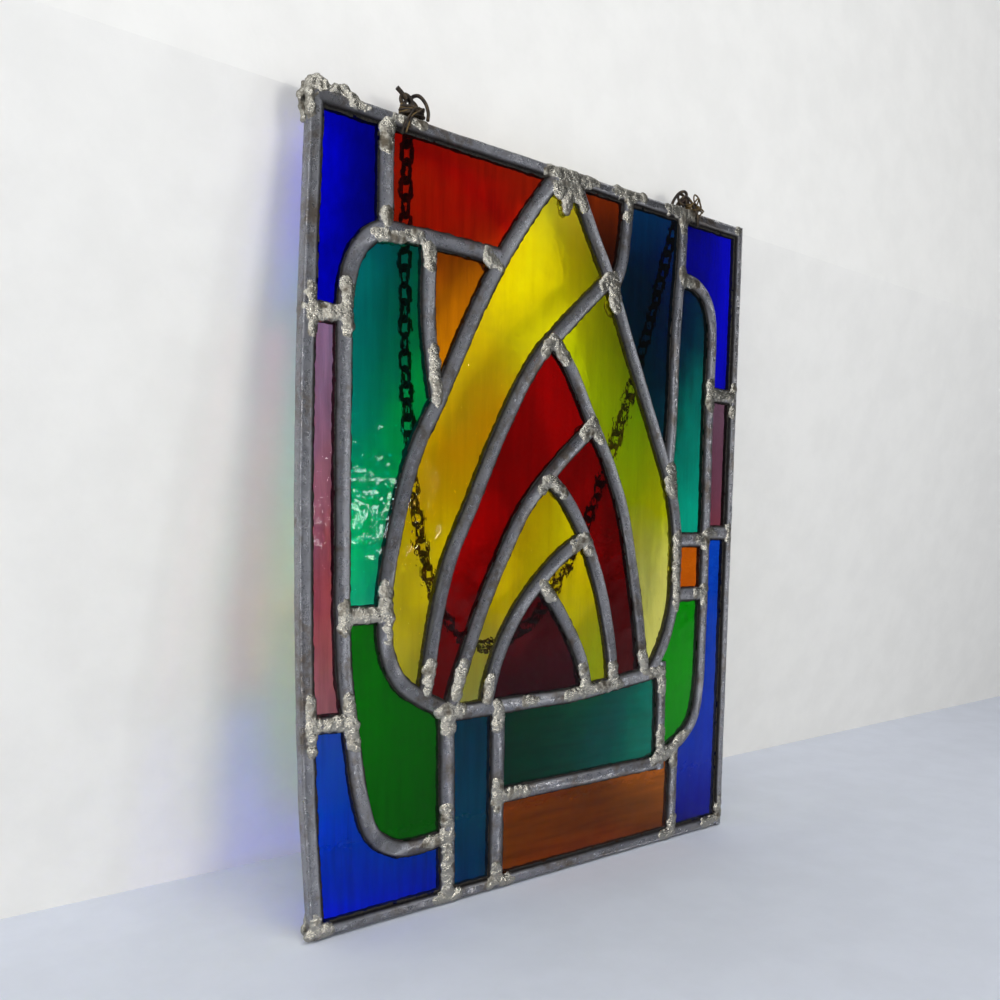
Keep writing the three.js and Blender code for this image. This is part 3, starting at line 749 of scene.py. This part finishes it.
# %% Place the balls and melt them together
SPOTS, SPOT_INPUTS = group("solder balls", {"Ball size": "NodeSocketFloat",
                                            "Finish": "NodeSocketMaterial"})
add = adder(SPOTS)
given = add("NodeGroupInput").outputs
ball = add("GeometryNodeMeshIcoSphere", None, {"Radius": given["Ball size"], "Subdivisions": 3})
size = add("GeometryNodeInputNamedAttribute", {"data_type": "FLOAT_VECTOR"}, {"Name": "size"})
placed = add("GeometryNodeInstanceOnPoints", None, {
    "Points": given["Geometry"], "Instance": ball.outputs[0], "Scale": size.outputs[0]})
ended(add, given, placed.outputs[0])

ROUGHEN, ROUGHEN_INPUTS = group("rough skin", {
    "Dent": "NodeSocketFloat", "Dents per metre": "NodeSocketFloat",
    "Seed": "NodeSocketFloat", "Finish": "NodeSocketMaterial"})
add = adder(ROUGHEN)
given = add("NodeGroupInput").outputs
ended(add, given, dented(add, given["Geometry"], given))


def solder_piece(name, balls, sizes, passes, dent, dents_per_metre):
    piece = linked(name, bpy.data.meshes.new(name))
    piece.data.from_pydata([tuple(p) for p in balls], [], [])
    piece.data.attributes.new("size", "FLOAT_VECTOR", "POINT").data.foreach_set(
        "vector", np.array(sizes, np.float32).ravel())
    driven(piece, SPOTS, SPOT_INPUTS, {"Ball size": 1.0, "Finish": SOLDER})
    melt = piece.modifiers.new("melt", "REMESH")
    melt.mode, melt.voxel_size = "VOXEL", VOXEL * MM
    flow = piece.modifiers.new("flow", "SMOOTH")
    flow.factor, flow.iterations = 0.5, passes
    driven(piece, ROUGHEN, ROUGHEN_INPUTS, {
        "Dent": dent * MM, "Dents per metre": dents_per_metre, "Seed": 3.0, "Finish": SOLDER})
    finished(piece, 180.0)
    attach(piece, "root")
    return piece


solder = solder_piece("solder_joints", *balls_along(SOLDER_RUNS, 0.09, 0.95, 1.4), 3, 0.75, 460.0)
heap = solder_piece("solder_heap", *balls_along(HEAP_RUNS, 0.25, 0.9, 1.7), 1, 1.9, 560.0)
print("solder of", triangles(solder), "and", triangles(heap), "triangles")

# %% [markdown]
# ## Antique glass
# Hand-made glass is coloured right through, but not evenly: a pane runs from one shade to
# another, is streaked along the way it was drawn, has waves on its faces and a few seeds, which
# are small bubbles. Each pane keeps its CAD body, and gets a finish of its own: shades along one
# direction, as they look with a pale wall behind. In some panes these shades are partly painted
# light: the shadows of the leads on the wall behind, and coloured light that other panes throw
# on it, painted into the glass's own colour. Light crosses the pane twice, once to reach the
# wall and once on its way back, so a shade is what is seen taken to a power, `depth`, that each
# pane has: a half would be the square root.

# %% The glass finish
def glass_finish(name, shades, depth=0.6, lean=(0.0, 1.0), streak=(0.0, 1.0), wander=0.25,
                 streaks=0.35, seeds=0.0, waves=1.0):
    f = Finish(name)
    low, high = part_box(name)
    through = [tuple(max(min(c / 0.74, 1.0) - 0.004, 0.0) ** depth for c in linear(*rgb))
               for _, rgb in shades]
    centre = (low + high) / 2
    reach = abs(lean[0]) * (high.x - low.x) + abs(lean[1]) * (high.z - low.z)
    where = f.coords()
    along = f.node("ShaderNodeVectorMath", {"operation": "DOT_PRODUCT"},
                   {0: where, 1: (lean[0] / reach, 0.0, lean[1] / reach)}, out="Value")
    offset = 0.5 - (lean[0] * centre.x + lean[1] * centre.z) / reach
    cloud = f.noise(where, 28.0, 3.0, 0.55)
    along = along + offset + (cloud - 0.5) * wander * 2.0
    # The ramp of shades: the glass's colour, and in some panes painted shadow and painted light from the
    # wall behind.
    shade = f.node("ShaderNodeValToRGB", {"stops": [
        (position, colour) for (position, _), colour in zip(shades, through)]}, {"Fac": along})
    # Long thin noise, drawn out along the streaks.
    sx, sz = abs(streak[1]) * 330.0 + 26.0, abs(streak[0]) * 330.0 + 26.0
    bands = f.noise(f.stretched(where, (sx, 60.0, sz)), 1.0, 4.0, 0.6)
    tone = 1.0 + (bands - 0.5) * streaks * 2.2
    grey = f.node("ShaderNodeCombineColor", None, {0: tone, 1: tone, 2: tone})
    colour = f.node("ShaderNodeMix", {"data_type": "RGBA", "blend_type": "MULTIPLY",
                                      "clamp_result": True},
                    {0: 1.0, 6: shade, 7: grey}, out=2)
    wave = f.noise(where, 62.0, 2.0, 0.5) * waves + f.noise(where, 150.0, 2.0, 0.5) * 0.6
    height = wave + bands * 0.12 + f.noise(where, 420.0, 2.0, 0.5) * 0.05
    if seeds:
        bubble = f.node("ShaderNodeTexVoronoi", {"feature": "F1"},
                        {"Vector": where, "Scale": 260.0, "Randomness": 1.0}, out="Distance")
        height = height + bubble.step(0.16, 0.30) * (-0.10 * seeds)
    body = f.node("ShaderNodeBsdfPrincipled", None, {
        "Base Color": colour, "Roughness": 0.03, "IOR": 1.5, "Transmission Weight": 1.0,
        "Specular IOR Level": 0.2, "Specular Tint": (0.15, 0.15, 0.15, 1.0),
        "Normal": f.bump(height, 0.0011, 0.42)})
    tint = [sum(c[k] for c in through) / len(through) for k in range(3)]
    lamp = f.node("ShaderNodeBsdfTransparent", None, {"Color": (*tint, 1.0)})
    shadow = f.node("ShaderNodeLightPath", out="Is Shadow Ray")
    return f.surface(f.node("ShaderNodeMixShader", None, {0: shadow, 1: body, 2: lamp}))


PANES = {
    # Darker towards the right: partly painted shade, the shadow of the upright lead on the wall behind.
    "glass_blue_top_left": dict(depth=0.42, lean=(1, 0.1), streak=(0.3, 1), wander=0.12, shades=[
        (0.0, (2, 4, 196)), (0.45, (2, 4, 176)), (1.0, (2, 3, 92))]),
    "glass_mauve_left": dict(depth=0.5, streaks=0.6, shades=[
        (0.0, (172, 54, 80)), (0.35, (116, 24, 54)), (0.6, (140, 40, 80)), (1.0, (196, 74, 130))]),
    "glass_blue_bottom_left": dict(depth=0.36, lean=(0.2, 1), streaks=0.5, wander=0.2, shades=[
        (0.0, (3, 6, 196)), (0.5, (8, 14, 225)), (1.0, (10, 16, 225))]),
    "glass_orange_top": dict(depth=0.6, lean=(0.4, 1), streaks=0.5, shades=[
        (0.0, (150, 24, 2)), (0.5, (128, 10, 1)), (1.0, (146, 14, 2))]),
    # Darker towards the top: partly painted shade from the wall behind.
    "glass_teal_left": dict(depth=0.52, lean=(0.15, 1), wander=0.12, streaks=0.3, shades=[
        (0.0, (10, 176, 168)), (0.16, (0, 156, 128)), (0.4, (0, 120, 106)), (0.75, (0, 92, 88)),
        (1.0, (0, 118, 104))]),
    "glass_orange_left": dict(depth=0.5, lean=(-0.5, -1), streaks=0.4, shades=[
        (0.0, (84, 26, 2)), (0.5, (150, 60, 2)), (1.0, (196, 86, 4))]),
    "glass_green_left": dict(depth=0.6, streaks=0.3, shades=[
        (0.0, (0, 92, 4)), (0.6, (4, 112, 6)), (1.0, (0, 88, 6))]),
    "glass_petrol_bottom": dict(depth=0.62, streaks=0.4, shades=[
        (0.0, (0, 42, 100)), (0.5, (2, 60, 134)), (1.0, (0, 42, 96))]),
    "glass_teal_bottom": dict(depth=0.8, lean=(1, 0), streak=(1, 0), streaks=0.4, shades=[
        (0.0, (0, 62, 52)), (0.5, (0, 84, 66)), (1.0, (0, 98, 80))]),
    "glass_brown_bottom": dict(depth=0.56, lean=(1, 0), streak=(1, 0), streaks=0.5, shades=[
        (0.0, (140, 42, 8)), (0.5, (112, 28, 5)), (1.0, (140, 44, 10))]),
    # The amber and olive middle shades are partly painted light: light through the red glass and a lead's
    # shadow, on the wall behind.
    "glass_yellow_flame": dict(depth=0.33, wander=0.16, streaks=0.16, seeds=1.0, shades=[
        (0.0, (222, 212, 12)), (0.26, (220, 190, 2)), (0.5, (208, 142, 0)),
        (0.66, (176, 156, 10)), (0.80, (232, 208, 0)), (1.0, (238, 216, 10))]),
    # The duller olive middle is partly painted shade: a lead's shadow on the wall behind.
    "glass_lime_flame": dict(depth=0.24, wander=0.14, streaks=0.2, seeds=1.0, shades=[
        (0.0, (220, 204, 14)), (0.25, (196, 184, 12)), (0.45, (156, 168, 6)),
        (0.68, (136, 200, 2)), (0.86, (180, 196, 6)), (1.0, (226, 216, 8))]),
    "glass_red_flame": dict(depth=0.7, streaks=0.3, shades=[
        (0.0, (110, 0, 8)), (0.5, (132, 0, 6)), (0.85, (120, 0, 5)), (1.0, (84, 0, 4))]),
    "glass_red_inner": dict(depth=0.56, lean=(-0.4, 1), streaks=0.4, shades=[
        (0.0, (42, 0, 2)), (0.5, (76, 0, 4)), (1.0, (92, 0, 6))]),
    "glass_yellow_inner_left": dict(depth=0.24, streaks=0.2, wander=0.2, seeds=0.8, shades=[
        (0.0, (222, 216, 30)), (0.45, (232, 184, 0)), (1.0, (236, 166, 2))]),
    "glass_yellow_inner_right": dict(depth=0.42, streaks=0.2, wander=0.2, seeds=0.8, shades=[
        (0.0, (226, 212, 6)), (0.5, (214, 182, 0)), (1.0, (200, 160, 4))]),
    "glass_maroon_heart": dict(depth=0.8, streaks=0.4, shades=[
        (0.0, (60, 8, 18)), (0.5, (74, 12, 26)), (1.0, (56, 6, 14))]),
    # Darker towards the lower left: partly painted shade from the wall behind.
    "glass_brown_top": dict(depth=1.0, lean=(0.3, 1), streaks=0.6, shades=[
        (0.0, (66, 28, 16)), (0.5, (104, 38, 14)), (1.0, (152, 54, 12))]),
    "glass_petrol_right": dict(depth=0.75, lean=(0.2, 1), streaks=0.5, wander=0.3, shades=[
        (0.0, (0, 76, 100)), (0.35, (0, 40, 60)), (0.7, (0, 34, 66)), (1.0, (0, 38, 86))]),
    # Darker towards the top: partly painted shade, the shadow on the wall behind.
    "glass_teal_right": dict(depth=0.8, streaks=0.4, shades=[
        (0.0, (0, 152, 122)), (0.4, (0, 110, 92)), (0.75, (0, 46, 58)), (1.0, (0, 34, 54))]),
    "glass_blue_top_right": dict(depth=0.7, lean=(1, -0.2), wander=0.12, streaks=0.4, shades=[
        (0.0, (4, 4, 116)), (0.5, (6, 8, 140)), (0.7, (3, 5, 186)), (1.0, (4, 4, 120))]),
    "glass_purple_right": dict(depth=0.95, streaks=0.4, shades=[
        (0.0, (112, 52, 66)), (0.5, (98, 58, 76)), (1.0, (104, 74, 94))]),
    "glass_orange_right": dict(depth=0.9, streaks=0.2, shades=[
        (0.0, (184, 74, 8)), (0.5, (196, 86, 10)), (1.0, (188, 78, 8))]),
    "glass_green_right": dict(depth=0.85, streaks=0.25, shades=[
        (0.0, (8, 120, 0)), (0.5, (12, 136, 2)), (1.0, (10, 126, 0))]),
    "glass_blue_bottom_right": dict(depth=0.5, lean=(0.1, 1), streaks=0.4, shades=[
        (0.0, (2, 4, 100)), (0.5, (4, 14, 132)), (1.0, (2, 20, 160))]),
}
for name, pane in PANES.items():
    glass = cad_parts[name]
    glass.data.materials.clear()
    glass.data.materials.append(glass_finish(name, **pane))
print(len(PANES), "panes have their glass")

# %% [markdown]
# ## Iron
# The chain is cheap iron, browned all over, in patches that are browner and rougher than the rest.

# %% Iron and wire
def iron_finish(name, dark, rust, metallic):
    f = Finish(name)
    where = f.coords()
    patch = f.noise(where, 320.0, 4.0, 0.65)
    grain = f.noise(where, 2400.0, 2.0, 0.5)
    colour = f.mix(patch.step(0.42, 0.68), linear(*dark), linear(*rust))
    return f.surface(f.node("ShaderNodeBsdfPrincipled", None, {
        "Base Color": colour, "Metallic": metallic, "Roughness": 0.42 + patch * 0.25,
        "Normal": f.bump(patch + grain * 0.3, 0.0002, 0.7)}))


CHAIN_IRON = iron_finish("chain_iron", (52, 42, 38), (84, 62, 48), 0.7)
DARK_WIRE = iron_finish("dark_wire", (44, 38, 34), (88, 74, 56), 0.7)
BRASSY_WIRE = iron_finish("brassy_wire", (112, 92, 58), (70, 56, 40), 0.75)
print("made", CHAIN_IRON.name, DARK_WIRE.name, BRASSY_WIRE.name)

# %% [markdown]
# ## The chain
# It hangs in a catenary behind the panel, drifting back because the panel leans. Its links are
# drawn a little stouter than the CAD chain's. Every second link is turned by a right angle. One
# link is modelled, and Geometry Nodes sets it on the points of the hanging curve, turned by the
# angles stored there.

# %% The hanging curve and one link
EYE_HALF_SPAN, CHAIN_SAG = 75.2, 208.0
CHAIN_START_Y, CHAIN_START_Z = 2.3, -1.0
CHAIN_STANDOFF, CHAIN_LEAN, CHAIN_SWAY = 7.2, 0.1175, 0.072
CHAIN_EASE = 4.0  # how far down the chain has come away from the eyes to its stand-off
LINK_PITCH, LINK_WIDTH, LINK_WIRE = 6.2, 6.4, 1.8
RING_STEPS, SIDES = 24, 10

low, high = 5.0, 500.0
for _ in range(60):
    middle = (low + high) / 2
    if middle * (math.cosh(EYE_HALF_SPAN / middle) - 1) > CHAIN_SAG:
        low = middle
    else:
        high = middle
CATENARY = low


def hanging(share):
    x = EYE_HALF_SPAN * (2 * share - 1)
    drop = CATENARY * (math.cosh(EYE_HALF_SPAN / CATENARY) - math.cosh(x / CATENARY))
    y = (CHAIN_START_Y + (CHAIN_STANDOFF - CHAIN_START_Y) * (1 - math.exp(-drop / CHAIN_EASE))
         + CHAIN_LEAN * drop)
    return Vector((x - CHAIN_SWAY * drop, y, CHAIN_START_Z - drop)) * MM


fine = np.array([hanging(k / 2000) for k in range(2001)])
run = np.concatenate([[0], np.cumsum(np.linalg.norm(np.diff(fine, axis=0), axis=1))])
LINKS = 2 * round(run[-1] / MM / LINK_PITCH / 2) - 1
stops = [Vector([np.interp(run[-1] * k / LINKS, run, fine[:, c]) for c in range(3)])
         for k in range(LINKS + 1)]
middles, turns = [], []
for k in range(LINKS):
    along = (stops[k + 1] - stops[k]).normalized()
    out = (Vector((0, 1, 0)) - along * along.y).normalized()
    side = along.cross(out)
    flat = (out, side) if k % 2 else (side, -out)
    middles.append((stops[k] + stops[k + 1]) / 2)
    turns.append(Matrix((along, *flat)).transposed().to_euler())

wire, bend = LINK_WIRE / 2, (LINK_WIDTH - LINK_WIRE) / 2
straight = LINK_PITCH / 2 + wire - bend
ring = []
for k in range(RING_STEPS):
    turn = 2 * math.pi * k / RING_STEPS
    ring.append((Vector((bend * math.cos(turn) + math.copysign(straight, math.cos(turn)),
                         bend * math.sin(turn), 0)), Vector((math.cos(turn), math.sin(turn), 0))))
link = bpy.data.meshes.new("link")
link.from_pydata(
    [(p + (outwards * math.cos(a) + Vector((0, 0, 1)) * math.sin(a)) * wire) * MM
     for p, outwards in ring for a in (2 * math.pi * s / SIDES for s in range(SIDES))], [],
    [(k * SIDES + s, (k + 1) % RING_STEPS * SIDES + s,
      (k + 1) % RING_STEPS * SIDES + (s + 1) % SIDES, k * SIDES + (s + 1) % SIDES)
     for k in range(RING_STEPS) for s in range(SIDES)])
link_object = linked("link", link)
print(LINKS, "links,", round(run[-1] / MM), "mm of chain")

# %% Hang the chain
CHAIN, CHAIN_INPUTS = group("chain of links", {
    "Link": "NodeSocketObject", "Wear": "NodeSocketFloat", "Finish": "NodeSocketMaterial"})
add = adder(CHAIN)
given = add("NodeGroupInput").outputs
one = add("GeometryNodeObjectInfo", None, {"Object": given["Link"]})
turned = add("GeometryNodeInputNamedAttribute", {"data_type": "FLOAT_VECTOR"}, {"Name": "turn"})
least = add("ShaderNodeMath", {"operation": "SUBTRACT"}, {0: 1.0, 1: given["Wear"]})
uneven = add("FunctionNodeRandomValue", {"data_type": "FLOAT"},
             {2: least.outputs[0], 3: 1.0, "Seed": 5})
hung = add("GeometryNodeInstanceOnPoints", None, {
    "Points": given["Geometry"], "Instance": one.outputs["Geometry"],
    "Rotation": turned.outputs[0], "Scale": uneven.outputs[1]})
ended(add, given, hung.outputs[0])

chain = linked("iron_chain", bpy.data.meshes.new("iron_chain"))
chain.data.from_pydata([tuple(p) for p in middles], [], [])
chain.data.attributes.new("turn", "FLOAT_VECTOR", "POINT").data.foreach_set(
    "vector", np.array([tuple(t) for t in turns], np.float32).ravel())
driven(chain, CHAIN, CHAIN_INPUTS, {"Link": link_object, "Wear": 0.02, "Finish": CHAIN_IRON})
finished(chain, 180.0)
bpy.data.objects.remove(link_object)
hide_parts("chain")
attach(chain, "root")
print("chain of", triangles(chain), "triangles")

# %% [markdown]
# ## The wire hangers
# Each hanger is scrap wire, bent over the top edge by hand: an eye that carries the chain, a
# few turns round its foot, and loose strands soldered to the border's face. Bevelled curves
# suit wire best, and each becomes a plain mesh before the strands are joined.

# %% Bend the hangers
def strand(points, thick):
    """One wire through (u, y, v) points, thick millimetres across, as a closed mesh."""
    curve = bpy.data.curves.new("strand", "CURVE")
    curve.dimensions, curve.bevel_depth = "3D", thick / 2 * MM
    curve.bevel_resolution, curve.use_fill_caps = 3, True
    run = smooth([tuple(place(u, v, y)) for u, y, v in points], 0.5 * MM)
    spline = curve.splines.new("POLY")
    spline.points.add(len(run) - 1)
    for spot, p in zip(spline.points, run):
        spot.co = (*p, 1.0)
    piece = linked("strand", curve)
    graph = bpy.context.evaluated_depsgraph_get()
    mesh = bpy.data.meshes.new_from_object(piece.evaluated_get(graph))
    bpy.data.objects.remove(piece)
    return mesh


def coil(u, v, wide, deep, rise, rounds, start=0.0):
    """Points of a loose coil round an upright, starting at height v."""
    points = []
    for k in range(round(rounds * 10) + 1):
        turn = start + 2 * math.pi * k / 10
        loose = 1.0 + 0.10 * math.sin(2.3 * k)
        points.append((u + wide * loose * math.cos(turn), deep * loose * math.sin(turn),
                       v + rise * k / 10))
    return points


def loop(u, y, v, wide, tip):
    """Points of a closed ring that stands in the panel's plane, its top tipped backwards."""
    return [(u + wide * math.cos(a), y + tip * math.sin(a), v + wide * math.sin(a))
            for a in (2 * math.pi * k / 12 for k in range(13))]


def hanger(name, node, strands):
    mesh = bmesh.new()
    for points, thick, finish in strands:
        part = strand(points, thick)
        for polygon in part.polygons:
            polygon.material_index = finish
        mesh.from_mesh(part)
        bpy.data.meshes.remove(part)
    whole = bpy.data.meshes.new(name)
    mesh.to_mesh(whole)
    mesh.free()
    for finish in (DARK_WIRE, BRASSY_WIRE):
        whole.materials.append(finish)
    whole.shade_smooth()
    piece = kept_inside(linked(name, whole))
    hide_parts(node)
    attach(piece, "root")
    return piece


hanger_left = hanger("hanger_left_wires", "hanger_left", [
    ([(46.2, -3.3, 300.4), (46.7, -2.8, 303.4), (45.8, -2, 307), (43.6, -0.7, 309.3),
      (42.1, 1.6, 308.9), (42.6, 3.4, 306), (43.3, 3.6, 303), (42.8, 3.9, 299), (42, 4, 295)], 1.35, 0),
    (loop(39.2, 0.2, 306.5, 2.4, 0.5), 1.5, 0),
    (loop(41.8, 1.2, 305.6, 2.6, 1.1), 1.4, 0),
    ([(38.2, -0.8, 306.8), (36.4, -1.2, 308), (34.2, -1.4, 309.3)], 1.7, 0),
    (coil(41.4, 301.3, 4.7, 2.2, 1.05, 3.2, 0.4), 1.1, 0),
    (coil(40.2, 301.8, 3.6, 1.8, 1.3, 2.2, 2.2), 1.0, 1),
    ([(43.6, -1.8, 304.6), (41, -2.9, 303.4), (38.8, -3.4, 300.6), (37, -3.8, 298),
      (35.6, -3.9, 295.2), (34.9, -3.9, 292.6)], 0.9, 0),
    ([(42.2, -2.8, 302.6), (39.6, -3.4, 300.4), (37.9, -3.8, 297), (36.6, -3.9, 293.6)], 0.75, 1),
    ([(46.4, 1, 303.4), (45, -2.4, 304.4), (41.2, -3, 301.6), (38.6, -3.7, 298.8),
      (38.2, -3.9, 295.8)], 0.8, 0),
])
hanger_right = hanger("hanger_right_wires", "hanger_right", [
    ([(185.6, 4, 296), (185.2, 3.8, 300.4), (186, 2.8, 304.6), (188.6, 1.4, 308.6),
      (191.2, 0.6, 309.4), (193.4, 1.4, 308.4), (193.9, 3.3, 305.4), (193.6, 3.5, 303),
      (195, 3.8, 300.2), (196.4, 4, 296)], 1.35, 0),
    ([(188.4, 3.9, 296.5), (188, 3.6, 301), (188.8, 2, 304.6), (190.6, -0.4, 306.8),
      (193, -1.6, 305), (194.6, -2.8, 301.6), (195.6, -3.8, 298), (195.8, -3.9, 293.4)], 1.2, 0),
    (loop(190.4, 1.4, 305.9, 2.7, 0.8), 1.3, 0),
    (coil(196, 301, 3.9, 2.0, 1.1, 2.6, 1.0), 0.85, 1),
    (coil(198, 302, 2.8, 1.8, 1.3, 2.0, 3.4), 0.75, 1),
    ([(191.8, -1.6, 302), (194, -2.9, 304.2), (197, -2.8, 306.8), (199.6, -1.6, 305.4),
      (199, -2.8, 302.8), (196, -3.3, 301.4), (193.4, -3.4, 300.6)], 0.75, 1),
    ([(198.8, 0.6, 303.2), (198, -2, 307), (195.2, -2, 308.2), (194.2, -2.6, 305),
      (197.6, -3, 302), (200.6, -2.4, 300.9)], 0.7, 1),
    ([(200.4, -1, 303.6), (201.2, -2.4, 302), (199.4, -3.2, 300.8), (197.2, -3.7, 298.8)], 0.75, 1),
])
print("hangers of", triangles(hanger_left), "and", triangles(hanger_right), "triangles")

# %% [markdown]
# ## The stage
# A window only shows its colours against something pale and lit. A pale sheet stands close
# behind the panel and slopes away below it, on a pale floor. The sheet shows only the side
# that faces the panel, so that views from the back aren't blocked. None of it is the object.

# %% Floor and sheet
def stage_finish(name, colour, one_sided=False):
    f = Finish(name)
    where = f.coords()
    plaster = f.noise(where, 40.0, 5.0, 0.6)
    tone = f.mix(plaster.step(0.3, 0.7), colour, tuple(c * 0.955 for c in colour))
    shader = f.node("ShaderNodeBsdfPrincipled", None, {
        "Base Color": tone, "Roughness": 0.9, "Normal": f.bump(plaster, 0.0006, 0.4)})
    if one_sided:
        back = f.node("ShaderNodeNewGeometry", out="Backfacing")
        clear = f.node("ShaderNodeBsdfTransparent", None, {"Color": (1.0, 1.0, 1.0, 1.0)})
        shader = f.node("ShaderNodeMixShader", None, {0: back, 1: shader, 2: clear})
    return f.surface(shader)


def stage_piece(name, corners, finish):
    mesh = bpy.data.meshes.new(name)
    count = len(corners)
    mesh.from_pydata(corners, [], [tuple(range(k, k + 4)) for k in range(0, count, 4)])
    mesh.materials.append(finish)
    piece = linked(name, mesh)
    piece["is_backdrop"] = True
    return piece


FLOOR_Z = FOOT * MM - 0.001
SHEET_Y, SHEET_SLOPE, SIDE_REACH, TOP_REACH = 0.016, 0.2235, 3.0, 0.9
sheet_foot = SHEET_Y - SHEET_SLOPE * FLOOR_Z
stage_piece("pale_floor", [
    (x, y, FLOOR_Z) for x, y in ((-3, -3), (3, -3), (3, 3), (-3, 3))],
    stage_finish("floor", linear(222, 226, 236)))
stage_piece("pale_sheet", [
    (-SIDE_REACH, sheet_foot, FLOOR_Z), (SIDE_REACH, sheet_foot, FLOOR_Z),
    (SIDE_REACH, SHEET_Y, 0), (-SIDE_REACH, SHEET_Y, 0),
    (-SIDE_REACH, SHEET_Y, 0), (SIDE_REACH, SHEET_Y, 0),
    (SIDE_REACH, SHEET_Y, TOP_REACH), (-SIDE_REACH, SHEET_Y, TOP_REACH)],
    stage_finish("sheet", linear(233, 231, 226), one_sided=True))
print("sheet stands", SHEET_Y, "behind the panel's middle at the hangers")

# %% [markdown]
# ## Light
# One soft lamp stands nearly in front, so that the leads throw close shadows on the sheet. A
# broad one to the left is the day, a small one to the right glances off the lower panes, and
# one above lights the floor. The sky itself is dim, so that the panes don't mirror it.

# %% Lamps and sky
def lamp(name, place_at, aim, size, power, colour):
    data = bpy.data.lights.new(name, "AREA")
    data.shape, data.size, data.size_y = "RECTANGLE", size[0], size[1]
    data.energy, data.color = power, colour
    made = bpy.data.objects.new(name, data)
    bpy.context.scene.collection.objects.link(made)
    made.location = place_at
    made.rotation_euler = (Vector(place_at) - Vector(aim)).to_track_quat("Z", "Y").to_euler()
    return made


centre = Vector((0.0, 0.0, FOOT * MM / 2))
lamp("softbox", (-0.03, -1.2, -0.23), centre, (0.3, 0.3), 5.4, (1.0, 0.98, 0.94))
lamp("day_window", (-1.35, -0.95, 0.35), centre, (1.1, 1.1), 11.5, (0.94, 0.97, 1.0))
lamp("glancing_window", (0.5, -1.1, -0.13), centre, (0.07, 0.07), 0.9, (0.88, 0.94, 1.0))
lamp("overhead", (-0.1, -0.75, 0.9), (0.0, -0.35, FLOOR_Z), (0.8, 0.8), 7.5, (0.95, 0.97, 1.0))
lamp("back_fill", (0.3, 1.3, 0.4), centre, (1.0, 1.0), 9.0, (1.0, 1.0, 1.0))
world = bpy.data.worlds.new("pale sky")
bpy.context.scene.world = world
world.use_nodes = True
world.node_tree.nodes["Background"].inputs["Color"].default_value = (0.93, 0.95, 1.0, 1.0)
world.node_tree.nodes["Background"].inputs["Strength"].default_value = 0.13
print("five lamps and a sky")

# %% [markdown]
# ## Measure and hand over
# The dressed window must fill the same box as the CAD model, so both boxes are written down.

# %% Sizes
bpy.context.view_layer.update()
visual_box = [list(corner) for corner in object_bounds()]
for side, cad, visual in zip(("low", "high"), CAD_BOX, visual_box):
    print(side, [round(c / MM, 2) for c in cad], [round(c / MM, 2) for c in visual])
